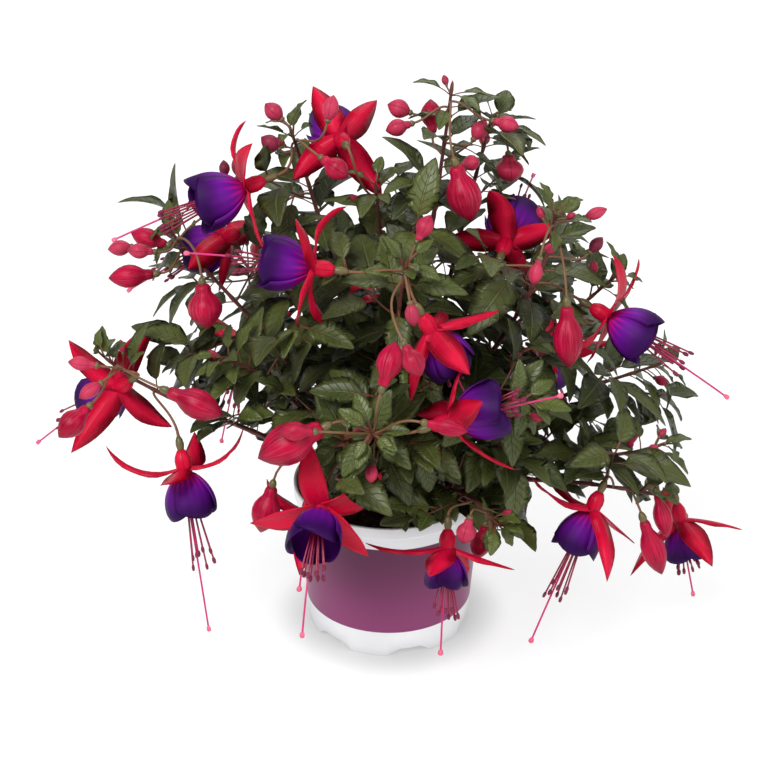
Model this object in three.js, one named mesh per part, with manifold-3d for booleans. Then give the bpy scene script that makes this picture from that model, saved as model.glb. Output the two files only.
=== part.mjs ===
// A potted fuchsia: a round white pot of potting soil, a bush of leafy stems that rise from it and
// arch outwards, red and violet blooms that hang from them, and buds. Millimetres, +Z up. The origin
// is on the pot's axis, at the level it stands on, and the front is towards -Y.
import * as THREE from "three";
import { mergeVertices } from "three/addons/utils/BufferGeometryUtils.js";
import Module from "manifold-3d";

const wasm = await Module();
wasm.setup();

// ---------------------------------------------------------------- driving dimensions

const pot = {
  height: 100,
  rimRadius: 60,
  rimHeight: 8,
  rimStep: 1.2, // how far the rim stands out from the wall
  baseRadius: 51,
  wall: 1.8,
  floorLift: 6, // from the ground to the underside of the floor
  floor: 2,
  sides: 32,
  feet: 6,
  footShare: 0.42, // of each foot's pitch; the rest is a drain notch
  footTurn: -105, // degrees from +X to the middle of the first foot
  notchHeight: 5,
  notchSlant: 9,
  drainRadius: 4,
  drainCircle: 34,
};

const soil = {
  level: 88,
  gap: 0.3, // to the pot's wall and floor
  sides: 16,
  lump: 1.3,
  holeDepth: 14,
  holeGap: 0.5,
};

const stem = {
  rootRadius: 2.1,
  tipRadius: 0.9,
  sides: 5,
  steps: 8,
  samples: 64,
  straight: 4, // how far it stands upright above the level of the soil
};

const leaf = {
  length: 43,
  halfWidth: 11.2,
  petiole: 8,
  petioleHalf: 0.7,
  thick: 1,
  fold: 0.24, // rise of the edges over the half width
  wave: 1.1,
  least: 29, // shorter leaves are too small to carry here
  firstAt: 12, // along the stem from the soil
  spacingLow: 25,
  spacingHigh: 15,
  growth: 62, // from the tip to the first full-grown leaves
  attempts: 9,
};

const bloom = {
  tube: 12,
  tubeRadius: 5,
  ovary: 8,
  ovaryRadius: 2.3,
  seat: 0.3, // between the ovary and the tube, and between the tube and the corolla
  sepalHalf: 8.4,
  sepalWidest: 0.4, // the share of a sepal's length where it is widest
  sepalThick: 1.2,
  sepalFold: 0.22, // rise of the edges over the half width
  sepalRoot: 2.6, // how deep in the tube a sepal starts
  sepalRise: 72, // degrees from the mouth's direction where a sepal leaves the tube
  corolla: 29,
  corollaRadius: 14.5,
  bellWidest: 0.7, // the share of the bell's length where it is widest
  bellClosing: 0.18, // how far it draws in from there to its mouth, as a share of the radius
  petals: 4,
  petalSpan: 62, // degrees either side of a petal's middle
  petalLap: 1.1, // how far one edge lies outside and the other inside
  petalThick: 1.1,
  petalArch: 0.24, // how much shorter its edges are than its middle, as a share
  collar: 4, // how far down the closed top of the corolla reaches
  collarRadius: 7.6,
  collarHole: 2.4,
  bundle: 8,
  bundleRadius: 1.7,
  stamens: 3,
  stamenShare: 0.6, // of the length of the pistil
  pistil: 84,
  sag: 4, // of the tip of a pistil of the usual length
  filament: 0.6,
};

const stalk = { radius: 0.9, sides: 3, steps: 3 };

const bud = { length: 26, halfWidth: 6.6, sides: 5, stalkSteps: 2 };

const sliver = 0.1; // joins leave no edges shorter than this

// Space kept round what is placed: points about 4 mm apart stand for each surface. Leaves also leave
// the view of each bloom open, from a little way down its bell towards the viewer.
const room = { blade: 2.5, petal: 3, stem: 2.4, thread: 1.6, heart: 8, ahead: 90, around: 20 };

// ---------------------------------------------------------------- what grows where

// Each leafy stem: where it stands in the soil, the place of its tip, its heading there, how far it
// rises before it leans out, and the small buds round its tip.
const shoots = [
  {
    name: "top_left", root: [-14, 8],
    tip: [-59, 30, 326], heading: [-0.3, 0.1, 0.95], rise: 110, buds: 4,
  },
  { name: "top_middle", root: [-3, 12], tip: [-8, 4, 300], heading: [-0.1, -0.1, 1], rise: 110, buds: 2 },
  { name: "top_right", root: [10, 6], tip: [37, 20, 358], heading: [0.1, 0, 1], rise: 110, buds: 5 },
  {
    name: "top_back", root: [20, 18],
    tip: [63, 66, 318], heading: [0.25, 0.25, 0.9], rise: 100, buds: 3,
  },
  {
    name: "left_upper", root: [-24, 2],
    tip: [-132, 10, 268], heading: [-0.6, 0, 0.8], rise: 80, buds: 4,
  },
  {
    name: "left_far", root: [-28, -10],
    tip: [-167, -50, 213], heading: [-0.6, -0.1, 0.75], rise: 55, buds: 3,
  },
  { name: "right_upper", root: [24, 8], tip: [97, -24, 296], heading: [0, 0, 1], rise: 80, buds: 4 },
  { name: "right_mid", root: [30, -1], tip: [136, -2, 243], heading: [0.7, 0, 0.7], rise: 70, buds: 2 },
  {
    name: "right_low", root: [32, -12],
    tip: [166, -30, 142], heading: [0.85, -0.1, 0.45], rise: 45, buds: 5,
  },
  { name: "right_side", root: [31, 9], tip: [170, 26, 168], heading: [0.9, 0.1, 0.3], rise: 50, buds: 2 },
  {
    name: "front_centre", root: [-4, -22],
    tip: [-10, -135, 212], heading: [-0.1, -0.75, 0.6], rise: 70, buds: 4,
  },
  {
    name: "centre", root: [4, -10],
    tip: [10, -74, 288], heading: [0.15, -0.3, 0.95], rise: 100, buds: 3,
  },
  {
    name: "right_front", root: [24, -22],
    tip: [160, -58, 124], heading: [0.9, -0.2, -0.1], rise: 38, buds: 1,
  },
  {
    name: "front_left", root: [-16, -24],
    tip: [-26, -116, 196], heading: [-0.15, -0.7, 0.5], rise: 45, buds: 1,
  },
  {
    name: "front_right", root: [14, -26],
    tip: [62, -112, 138], heading: [0.45, -0.8, -0.35], rise: 34, buds: 1,
  },
  {
    name: "left_mid", root: [-26, -20],
    tip: [-96, -62, 220], heading: [-0.7, -0.4, 0.5], rise: 60, buds: 1,
  },
  {
    name: "right_centre", root: [18, -14],
    tip: [78, -92, 208], heading: [0.5, -0.6, 0.5], rise: 70, buds: 2,
  },
  {
    name: "back_left", root: [-18, 22],
    tip: [-108, 112, 216], heading: [-0.6, 0.6, 0.5], rise: 70, buds: 4,
  },
  { name: "back_centre", root: [2, 28], tip: [4, 142, 206], heading: [0, 0.85, 0.5], rise: 70, buds: 4 },
  {
    name: "back_right", root: [24, 24],
    tip: [122, 106, 200], heading: [0.6, 0.6, 0.45], rise: 65, buds: 4,
  },
];

// The hem of the bush: from each x on, no leaf hangs below this level. It is the level at y = 0, and
// the hem rises towards the front.
const hem = [[-400, 124], [-45, 75], [-10, 62], [52, 46], [90, 80]];
const hemSlope = 0.62;

// Each bloom: its throat, the way its mouth faces, and the turn of each sepal round it, how far that
// sepal opens (degrees from the mouth's direction, at its tip) and its length. Then, where they aren't
// the usual ones, its size, the size of its bell, the length of its pistil and how far that sags.
const blooms = [
  {
    at: [-84, -12, 306], facing: [-0.92, -0.28, -0.26],
    sepals: [[25, 145, 46], [115, 105, 36], [205, 90, 44], [300, 130, 38]], bell: 1.12, pistil: 80,
  },
  {
    at: [-43, -77, 286], facing: [-0.99, 0.01, 0.13],
    sepals: [[30, 140, 48], [135, 145, 48], [220, 85, 42], [305, 65, 42]], bell: 1.05, pistil: 71,
  },
  {
    at: [-29, 19, 324], facing: [-0.23, 0.97, -0.12],
    sepals: [[0, 40, 36], [85, 145, 42], [172, 116, 36], [275, 30, 36]], bell: 0.95,
  },
  {
    at: [-99, 26, 255], facing: [-0.79, 0.28, -0.54],
    sepals: [[85, 110, 42], [180, 30, 36], [255, 85, 44], [355, 105, 38]], size: 0.95,
  },
  {
    at: [-161, -42, 189], facing: [-0.62, 0.45, -0.64],
    sepals: [[50, 155, 42], [155, 120, 38], [240, 50, 48], [330, 115, 42]], bell: 0.95, pistil: 92,
  },
  {
    at: [-120, -88, 159], facing: [0.17, -0.4, -0.9],
    sepals: [[10, 155, 50], [100, 155, 40], [185, 155, 44], [285, 95, 38]], bell: 0.97, pistil: 90,
  },
  {
    at: [-39, -128, 156], facing: [-0.15, -0.94, -0.31],
    sepals: [[30, 100, 44], [145, 75, 38], [215, 155, 42], [290, 155, 44]], pistil: 54, sag: 80,
  },
  {
    at: [34, -112, 119], facing: [-0.03, -0.43, -0.9],
    sepals: [[10, 105, 48], [110, 30, 38], [190, 75, 40], [285, 65, 36]], bell: 0.76, pistil: 58,
  },
  {
    at: [122, -68, 119], facing: [-0.4, -0.32, -0.86],
    sepals: [[50, 120, 44], [145, 70, 42], [230, 26, 50], [330, 120, 48]], bell: 0.95, pistil: 84,
  },
  {
    at: [182, -24, 83], facing: [0.22, -0.29, -0.93],
    sepals: [[85, 145, 38], [165, 55, 42], [250, 38, 42], [345, 38, 46]], bell: 0.82, pistil: 46,
  },
  {
    at: [131, -20, 225], facing: [0.85, -0.34, -0.4],
    sepals: [[50, 95, 40], [150, 110, 46], [230, 140, 46], [330, 155, 44]], bell: 1.05, pistil: 82,
  },
  {
    at: [70, 6, 262], facing: [0.23, 0.96, 0.15],
    sepals: [[60, 62, 34], [155, 120, 40], [245, 130, 44], [332, 40, 35]], bell: 1.05,
  },
  {
    at: [24, -94, 254], facing: [0.45, 0.01, -0.89],
    sepals: [[105, 75, 38], [175, 70, 40], [265, 60, 42], [340, 28, 42]], bell: 0.95, pistil: 50,
  },
  {
    at: [35, -124, 213], facing: [0.96, 0.1, 0.27],
    sepals: [[5, 30, 46], [100, 155, 44], [185, 40, 36], [265, 45, 42]], bell: 1.08, pistil: 62,
  },
  {
    at: [-96, 120, 132], facing: [-0.2, 0.2, -0.95],
    sepals: [[30, 108, 43], [120, 125, 45], [210, 80, 41], [300, 98, 44]],
  },
  {
    at: [-8, 142, 150], facing: [-0.1, 0.25, -0.95],
    sepals: [[50, 120, 44], [140, 96, 42], [230, 130, 45], [320, 70, 42]], bell: 1.05,
  },
  {
    at: [104, 122, 126], facing: [0.2, 0.25, -0.94],
    sepals: [[15, 100, 42], [105, 125, 45], [195, 108, 44], [285, 75, 42]], bell: 0.9,
  },
  {
    at: [-46, -92, 132], facing: [-0.12, -0.22, -0.97],
    sepals: [[15, 155, 36], [95, 155, 38], [190, 35, 38], [275, 28, 48]], size: 0.92, bell: 0.9,
    pistil: 50,
  },
];

// Each large bud: where it begins, the way it points, its length, and how full it is where that
// isn't the usual.
const largeBuds = [
  { at: [37, -20, 329], facing: [0.27, -0.18, -0.95], length: 40, plump: 1.03 },
  { at: [-108, -57, 270], facing: [0.09, -0.24, -0.97], length: 31, plump: 1.3 },
  { at: [-131, -98, 220], facing: [0.91, -0.26, -0.31], length: 40, plump: 0.87 },
  { at: [-172, -84, 202], facing: [-0.67, -0.53, -0.52], length: 28, plump: 1.09 },
  { at: [-32, -132, 216], facing: [-0.9, -0.28, -0.33], length: 46, plump: 1.05 },
  { at: [-67, -102, 161], facing: [-0.24, -0.19, -0.95], length: 34, plump: 1.01 },
  { at: [-5, -146, 243], facing: [0.29, 0.46, 0.84], length: 30 },
  { at: [7, -150, 278], facing: [0.46, -0.51, -0.73], length: 22, plump: 1.16 },
  { at: [102, -62, 260], facing: [0.06, -0.22, -0.97], length: 43, plump: 0.85 },
  { at: [152, -64, 115], facing: [0.33, -0.19, -0.92], length: 43, plump: 0.73 },
  { at: [161, -56, 128], facing: [0.25, -0.19, -0.95], length: 34, plump: 0.7 },
  { at: [57, -102, 133], facing: [-0.2, -0.17, -0.97], length: 25, plump: 1.05 },
  { at: [47, -118, 147], facing: [-0.23, -0.29, -0.93], length: 18, plump: 1.35 },
  { at: [-136, -14, 251], facing: [-0.99, -0.13, -0.04], length: 31, plump: 0.93 },
  { at: [-130, 2, 261], facing: [-0.95, 0.16, 0.28], length: 26, plump: 0.95 },
  { at: [72, 44, 305], facing: [0.07, -0.2, -0.98], length: 20, plump: 1.87 },
  { at: [14, 30, 335], facing: [-0.94, 0.16, 0.3], length: 16, plump: 1.48 },
  { at: [15, 16, 335], facing: [-0.95, -0.23, -0.19], length: 18, plump: 1.17 },
  { at: [-41, -14, 327], facing: [0.79, -0.44, -0.43], length: 22, plump: 1.24 },
  { at: [-62, 14, 337], facing: [-0.73, 0.33, 0.6], length: 15, plump: 1.43 },
  { at: [-64, 10, 320], facing: [-0.81, 0.07, 0.58], length: 14, plump: 1.45 },
  { at: [-36, -4, 343], facing: [0.23, 0.47, 0.85], length: 17, plump: 1.19 },
  { at: [-137, -16, 266], facing: [-0.97, -0.17, 0.15], length: 18, plump: 1.08 },
  { at: [-152, -2, 263], facing: [-0.99, -0.06, -0.1], length: 16, plump: 1.2 },
  { at: [59, 10, 339], facing: [0.96, -0.26, -0.13], length: 18, plump: 1.14 },
  { at: [49, 14, 324], facing: [0.53, 0.61, 0.58], length: 16, plump: 1.25 },
  { at: [26, 30, 319], facing: [-0.05, 0.56, 0.83], length: 24, plump: 1.09 },
  { at: [15, -64, 294], facing: [0.45, 0.43, 0.78], length: 19, plump: 1.12 },
  { at: [86, -64, 287], facing: [-0.23, -0.21, -0.95], length: 18, plump: 0.93 },
  { at: [114, -8, 284], facing: [0.93, 0.18, 0.32], length: 16, plump: 0.95 },
  { at: [118, -14, 264], facing: [0.66, 0.36, 0.66], length: 13, plump: 1.2 },
  { at: [11, -128, 291], facing: [0.18, -0.23, -0.96], length: 15, plump: 1.11 },
  { at: [17, -146, 225], facing: [0.98, -0.16, -0.14], length: 27, plump: 0.76 },
  { at: [-165, -96, 233], facing: [-0.97, -0.14, 0.22], length: 18, plump: 0.95 },
  { at: [-163, -100, 225], facing: [-0.75, -0.58, -0.32], length: 17, plump: 0.98 },
  { at: [148, -24, 134], facing: [0.07, 0.48, 0.87], length: 18, plump: 1.11 },
  { at: [-97, 10, 302], facing: [-0.11, 0.48, 0.87], length: 11, plump: 1.2 },
  { at: [-90, 20, 297], facing: [-0.12, 0.48, 0.87], length: 14, plump: 0.98 },
  { at: [-39, -150, 221], facing: [-1, 0.01, 0.02], length: 22, plump: 1.01 },
  { at: [-88, 132, 206], facing: [0.2, 0.5, -0.8], length: 30 },
  { at: [48, 148, 190], facing: [0.3, 0.3, -0.9], length: 32 },
  { at: [96, 128, 190], facing: [-0.2, 0.4, -0.9], length: 28 },
];

// ---------------------------------------------------------------- small tools

const vector = (x, y, z) => new THREE.Vector3(x, y, z);
const up = vector(0, 0, 1);
const radians = THREE.MathUtils.degToRad;
const twoPi = 2 * Math.PI;

// Repeatable draws: each thing that is placed has a generator of its own.
function draws(seed) {
  const span = 2147483647;
  let state = (seed * 7919 + 104729) % span;
  return (low, high) => {
    state = (state * 16807) % span;
    return low + ((high - low) * state) / span;
  };
}

// The direction at a turn round a way, measured from one direction across it.
function around(way, across, turn) {
  const other = way.clone().cross(across);
  return across.clone().multiplyScalar(Math.cos(turn)).addScaledVector(other, Math.sin(turn));
}

function pointsBetween(from, to, step) {
  const count = Math.max(1, Math.ceil(from.distanceTo(to) / step));
  return Array.from({ length: count + 1 }, (_, i) => from.clone().lerp(to, i / count));
}

// A closed mesh becomes a solid whose faces point outwards.
function solidOf(geometry) {
  const bare = geometry.clone();
  bare.deleteAttribute("normal");
  bare.deleteAttribute("uv");
  const merged = mergeVertices(bare, 1e-4);
  const corners = new Uint32Array(merged.index.array);
  const made = (triVerts) =>
    new wasm.Manifold(
      new wasm.Mesh({ numProp: 3, vertProperties: merged.attributes.position.array, triVerts }),
    );
  const first = made(corners);
  return first.volume() > 0 ? first : made(corners.reverse());
}

function geometryOf(solid) {
  const mesh = solid.getMesh();
  const geometry = new THREE.BufferGeometry();
  geometry.setAttribute("position", new THREE.BufferAttribute(mesh.vertProperties, 3));
  geometry.setIndex(new THREE.BufferAttribute(mesh.triVerts, 1));
  geometry.computeVertexNormals();
  return geometry;
}

// A closed body through rings of points. A ring of one point is a tip, and other ends are capped.
// A blade's rings hold its left, top, right and bottom, and its two faces are split alike.
function ringBody(rings, isBlade = false) {
  const index = [];
  let start = 0;
  for (let i = 0; i < rings.length - 1; i++) {
    const next = start + rings[i].length;
    const sides = Math.max(rings[i].length, rings[i + 1].length);
    for (let j = 0; j < sides; j++) {
      const k = (j + 1) % sides;
      const [a, b, below, aside] = [start + j, start + k, next + j, next + k];
      if (rings[i].length === 1) index.push(start, aside, below);
      else if (rings[i + 1].length === 1) index.push(a, b, next);
      else if (isBlade && j % 2) index.push(a, b, below, b, aside, below);
      else index.push(a, b, aside, a, aside, below);
    }
    start = next;
  }
  for (let j = 1; j < rings[0].length - 1; j++) index.push(0, j + 1, j);
  for (let j = 1; j < rings.at(-1).length - 1; j++) index.push(start, start + j, start + j + 1);
  const geometry = new THREE.BufferGeometry().setFromPoints(rings.flat());
  geometry.setIndex(index);
  return solidOf(geometry);
}

// A round body along a path, with a radius at each point; radius 0 at an end is a tip.
function roundBody(path, radii, sides) {
  let across = null;
  const rings = path.map((p, i) => {
    const way = path[Math.min(i + 1, path.length - 1)].clone().sub(path[Math.max(i - 1, 0)]).normalize();
    if (!across) across = Math.abs(way.z) > 0.9 ? vector(1, 0, 0) : up.clone();
    across.addScaledVector(way, -across.dot(way)).normalize();
    if (!radii[i]) return [p.clone()];
    return Array.from({ length: sides }, (_, j) =>
      p.clone().addScaledVector(around(way, across, (j / sides) * twoPi), radii[i]),
    );
  });
  return ringBody(rings);
}

// ---------------------------------------------------------------- blades

// A blade's middle line is a circular arc that leaves its root along one way and bends back from
// its face. Gives the place, the face's direction and the side's at a share of the length.
function onArc({ root, along, face, length, bend }, share) {
  const turned = bend * share;
  const reach = length / bend;
  const at = root
    .clone()
    .addScaledVector(along, reach * Math.sin(turned))
    .addScaledVector(face, -reach * (1 - Math.cos(turned)));
  const normal = face.clone().multiplyScalar(Math.cos(turned)).addScaledVector(along, Math.sin(turned));
  return { at, normal, side: along.clone().cross(face) };
}

// Stations give the share of the length, the half width, and how far each edge is raised.
function bladeBody(line, stations, thick) {
  const rings = stations.map(({ share, half, left, right }) => {
    const { at, normal, side } = onArc(line, share);
    const place = (out, rise) => at.clone().addScaledVector(side, out).addScaledVector(normal, rise);
    return [place(-half, left), place(0, thick / 2), place(half, right), place(0, -thick / 2)];
  });
  return ringBody([[line.root], ...rings, [onArc(line, 1).at]], true);
}

// Points spread over a blade, which keep others clear of it.
function bladePoints(line, half, from, rows, columns) {
  const points = [];
  for (let i = 0; i < rows; i++) {
    const share = from + ((0.97 - from) * i) / (rows - 1);
    const { at, side } = onArc(line, share);
    for (let j = 0; j < columns; j++) {
      const out = (2 * j) / (columns - 1) - 1;
      points.push(at.clone().addScaledVector(side, out * half(share)));
    }
  }
  return points;
}

// ---------------------------------------------------------------- room

const taken = [];

function claim(points, gap, owner) {
  const centre = vector(0, 0, 0);
  points.forEach((p) => centre.addScaledVector(p, 1 / points.length));
  const reach = Math.max(...points.map((p) => p.distanceTo(centre)));
  return { points, gap, owner, centre, reach };
}

function isApart(one, other) {
  const least = one.gap + other.gap;
  if (one.centre.distanceTo(other.centre) > one.reach + other.reach + least) return true;
  return one.points.every((p) => other.points.every((q) => p.distanceToSquared(q) > least * least));
}

const isClear = (thing) => taken.every((other) => other.owner === thing.owner || isApart(other, thing));

// ---------------------------------------------------------------- pot and soil

const floorTop = pot.floorLift + pot.floor;
const wallTop = pot.height - pot.rimHeight;
const wallRadius = (z) => pot.baseRadius + ((pot.rimRadius - pot.rimStep - pot.baseRadius) * z) / wallTop;

function makePot() {
  const inner = (z) => wallRadius(z) - pot.wall;
  const edge = 0.8;
  const profile = [
    [0, floorTop],
    [inner(floorTop), floorTop],
    [inner(wallTop), wallTop],
    [pot.rimRadius - pot.wall, pot.height],
    [pot.rimRadius, pot.height - edge],
    [pot.rimRadius, wallTop + edge],
    [wallRadius(wallTop), wallTop],
    [wallRadius(0), 0],
    [inner(0), 0],
    [inner(pot.floorLift), pot.floorLift],
    [0, pot.floorLift],
  ].map(([r, z]) => new THREE.Vector2(r, z));
  const body = solidOf(new THREE.LatheGeometry(profile, pot.sides).rotateX(Math.PI / 2));

  const cuts = [];
  const notchHalf = pot.baseRadius * Math.sin(((1 - pot.footShare) * Math.PI) / pot.feet);
  const cutDepth = 16;
  for (let i = 0; i < pot.feet; i++) {
    const turn = radians(pot.footTurn + ((i + 0.5) * 360) / pot.feet);
    const notch = new THREE.Shape([
      new THREE.Vector2(-notchHalf, -1),
      new THREE.Vector2(notchHalf, -1),
      new THREE.Vector2(notchHalf - pot.notchSlant, pot.notchHeight),
      new THREE.Vector2(pot.notchSlant - notchHalf, pot.notchHeight),
    ]);
    const block = new THREE.ExtrudeGeometry(notch, { depth: cutDepth, bevelEnabled: false });
    block.rotateX(Math.PI / 2).translate(0, pot.baseRadius + cutDepth / 2, 0).rotateZ(turn - Math.PI / 2);
    const drain = new THREE.CylinderGeometry(pot.drainRadius, pot.drainRadius, 3 * pot.floor, 8);
    drain.rotateX(Math.PI / 2).translate(pot.drainCircle, 0, floorTop - pot.floor / 2).rotateZ(turn);
    cuts.push(solidOf(block), solidOf(drain));
  }
  return body.subtract(wasm.Manifold.union(cuts));
}

// A low, uneven surface of crumbled soil.
function soilHeight(x, y) {
  const lumps = Math.sin(x * 0.21 + 1) * Math.cos(y * 0.17) + 0.6 * Math.sin(x * 0.09 - y * 0.13);
  return soil.level + soil.lump * lumps;
}

function makeSoil(stemHoles) {
  const side = (z) => wallRadius(z) - pot.wall - 2 * soil.gap;
  const bottom = floorTop + soil.gap;
  const profile = [
    [0, bottom],
    [side(bottom), bottom],
    [side(soil.level), soil.level - 3],
    [side(soil.level) * 0.82, soil.level],
    [side(soil.level) * 0.45, soil.level],
    [0, soil.level],
  ].map(([r, z]) => new THREE.Vector2(r, z));
  const body = new THREE.LatheGeometry(profile, soil.sides).rotateX(Math.PI / 2);
  const places = body.attributes.position;
  for (let i = 0; i < places.count; i++) {
    if (places.getZ(i) > soil.level - 1) places.setZ(i, soilHeight(places.getX(i), places.getY(i)));
  }
  return solidOf(body).subtract(wasm.Manifold.union(stemHoles));
}

// ---------------------------------------------------------------- stems

const stemFoot = soil.level - soil.holeDepth + 1;

// Places along the stem's straight stretches from the soil to its tip, with their ways, a direction
// across that doesn't twist, and the distance to the tip.
function stemFrames(shoot) {
  const root = vector(...shoot.root, soil.level + stem.straight);
  const tip = vector(...shoot.tip);
  const lean = tip.clone().sub(root).setZ(0);
  const rising = root.clone().addScaledVector(lean, 0.12).setZ(soil.level + shoot.rise);
  const heading = vector(...shoot.heading).normalize();
  const easing = tip.clone().addScaledVector(heading, -0.3 * tip.distanceTo(root));
  const corners = new THREE.CubicBezierCurve3(root, rising, easing, tip).getPoints(stem.steps);
  const perStep = stem.samples / stem.steps;
  const places = Array.from({ length: stem.samples }, (_, i) => {
    const corner = Math.floor(i / perStep);
    return corners[corner].clone().lerp(corners[corner + 1], (i % perStep) / perStep);
  });
  places.push(tip);
  const across = vector(1, 0, 0);
  const frames = places.map((at, i) => {
    const way = places[Math.min(i + 1, stem.samples)].clone().sub(places[Math.max(i - 1, 0)]).normalize();
    across.addScaledVector(way, -across.dot(way)).normalize();
    return { at, way, across: across.clone(), toTip: 0 };
  });
  for (let i = stem.samples - 1; i >= 0; i--) {
    frames[i].toTip = frames[i + 1].toTip + places[i].distanceTo(places[i + 1]);
  }
  return frames;
}

function makeStem({ root, frames }) {
  const path = [vector(...root, stemFoot)];
  const radii = [stem.rootRadius];
  for (let i = 0; i <= stem.steps; i++) {
    const share = i / stem.steps;
    path.push(frames[share * stem.samples].at);
    radii.push(stem.rootRadius + (stem.tipRadius - stem.rootRadius) * share);
  }
  const last = frames.at(-1);
  path.push(last.at.clone().addScaledVector(last.way, 2));
  radii.push(0);
  return roundBody(path, radii, stem.sides);
}

function stemHole({ root }) {
  const radius = stem.rootRadius + soil.holeGap;
  const foot = vector(...root, stemFoot - 1);
  const top = vector(...root, soil.level + stem.straight);
  return roundBody([foot, top], [radius, radius], stem.sides);
}

// ---------------------------------------------------------------- stalks and buds

// The stem place that a hanging thing grows from: the nearest to a point behind and above its end.
function nearestFrame(end, facing) {
  const wanted = end.clone().addScaledVector(facing, -14).addScaledVector(up, 6);
  let best = null;
  shoots.forEach((shoot) =>
    shoot.frames.slice(0.3 * stem.samples, 0.97 * stem.samples).forEach((frame) => {
      const away = frame.at.distanceTo(wanted);
      if (!best || away < best.away) best = { shoot, frame, away };
    }),
  );
  return best;
}

// A stalk bows out of the stem and ends along the way that its bloom or bud faces, in an ovary.
function stalkTo(end, facing) {
  const { shoot, frame } = nearestFrame(end, facing);
  const length = frame.at.distanceTo(end);
  const out = end.clone().sub(frame.at);
  out.addScaledVector(frame.way, -out.dot(frame.way)).normalize();
  const leaving = frame.at.clone().addScaledVector(out, 0.3 * length);
  leaving.addScaledVector(frame.way, 0.15 * length);
  const arriving = end.clone().addScaledVector(facing, -0.4 * length);
  const curve = new THREE.CubicBezierCurve3(frame.at, leaving, arriving, end);
  taken.push(claim(curve.getPoints(12).slice(2), room.thread, `stalk to ${end.x}`));
  return { shoot, curve };
}

// A bloom hangs from an ovary at the end of its stalk.
function growBloomStalk(frame) {
  const end = bloomPoint(frame, -bloom.tube - bloom.ovary, 0, 0);
  end.addScaledVector(frame.mouth, -bloom.seat);
  const { shoot, curve } = stalkTo(end, frame.mouth);
  const place = (share) => end.clone().addScaledVector(frame.mouth, share * bloom.ovary * frame.size);
  const path = [...curve.getPoints(stalk.steps), place(0.45), place(1)];
  const slender = Array(stalk.steps + 1).fill(stalk.radius);
  const radii = [...slender, bloom.ovaryRadius, bloom.ovaryRadius * 0.8];
  shoot.parts.push(roundBody(path, radii, stalk.sides));
}

// A closed bud has a full belly and a pointed end, and is one body with its stalk.
function growLargeBud({ at, facing, length, plump = 1 }) {
  const root = vector(...at);
  const way = vector(...facing).normalize();
  const { shoot, curve } = stalkTo(root, way);
  const half = bud.halfWidth * (length / bud.length) * plump;
  const place = (share) => root.clone().addScaledVector(way, length * share);
  const path = [...curve.getPoints(bud.stalkSteps), place(0.22), place(0.54), place(0.8), place(1)];
  const radii = [...Array(bud.stalkSteps + 1).fill(stalk.radius), half * 0.5, half, half * 0.6, 0];
  shoot.parts.push(roundBody(path, radii, bud.sides));
  taken.push(claim(pointsBetween(root, place(1), 4), half + 1, `bud at ${root.x}`));
}

// Small buds stand round each tip on short stalks.
function growTipBuds(shoot, number) {
  for (let i = 0; i < shoot.buds; i++) {
    const draw = draws(number * 100 + i + 51);
    const { at, way, across } = shoot.frames[stem.samples - 2 - 3 * i];
    const out = around(way, across, i * 2.4 + number);
    const facing = out.clone().addScaledVector(way, 0.9 - 0.1 * i).normalize();
    const length = draw(7, 10) + 2.2 * i;
    const reach = 6 + 3 * i;
    const root = at.clone().addScaledVector(out, reach).addScaledVector(way, reach / 2);
    const place = (share) => root.clone().addScaledVector(facing, length * share);
    const half = length * 0.27;
    const points = pointsBetween(at.clone().lerp(root, 0.5), place(1), 3);
    const thing = claim(points, half + 0.8, `tip bud ${number} ${i}`);
    if (taken.every((other) => other.owner === shoot.name || isApart(other, thing))) {
      taken.push(thing);
      const path = [at, root, place(0.5), place(1)];
      shoot.parts.push(roundBody(path, [0.7, 0.7, half, 0], stalk.sides));
    }
  }
}

// ---------------------------------------------------------------- blooms

const viewer = vector(0, -0.87, 0.49); // towards the view from the front and above

// The bloom's own directions. At turn 0 a sepal points across that view.
function bloomFrame({ at, facing, sepals, size = 1, bell = 1, pistil = bloom.pistil, sag = bloom.sag }) {
  const mouth = vector(...facing).normalize();
  const across = mouth.clone().cross(viewer).normalize();
  return { throat: vector(...at), mouth, across, sepals, turn: sepals[0][0], size, bell, pistil, sag };
}

// A point at a distance along the bloom's axis and a radius off it.
function bloomPoint({ throat, mouth, across, size }, along, radius, degrees) {
  return throat
    .clone()
    .addScaledVector(mouth, along * size)
    .addScaledVector(around(mouth, across, radians(degrees)), radius * size);
}

// A sepal leaves the tube just short of square to the axis and bends on to its open angle.
function sepalLine(frame, [turn, open, reach]) {
  const out = around(frame.mouth, frame.across, radians(turn));
  const rise = radians(bloom.sepalRise);
  const along = out.clone().multiplyScalar(Math.sin(rise)).addScaledVector(frame.mouth, Math.cos(rise));
  const face = out.clone().multiplyScalar(-Math.cos(rise)).addScaledVector(frame.mouth, Math.sin(rise));
  const root = bloomPoint(frame, -bloom.sepalRoot, 0, 0);
  const length = (reach + bloom.sepalRoot) * frame.size;
  return { root, along, face, length, bend: radians(open) - rise };
}

// A sepal's half width at a share of its length: it widens from the tube and then tapers to its tip.
function sepalHalf(share, size) {
  const base = 0.55;
  const widest = bloom.sepalWidest;
  const rising = base + (1 - base) * Math.sin(((Math.PI / 2) * share) / widest);
  const falling = 1 - (Math.max(0, share - widest) / (1 - widest)) ** 1.9;
  return size * bloom.sepalHalf * (share < widest ? rising : falling);
}

function makeSepal(frame, sepal) {
  const stations = [0.18, 0.46, 0.76].map((share, station) => {
    const half = sepalHalf(share, frame.size);
    const lift = station ? bloom.sepalFold * half : 0;
    return { share, half, left: lift, right: lift };
  });
  return bladeBody(sepalLine(frame, sepal), stations, bloom.sepalThick);
}

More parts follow.
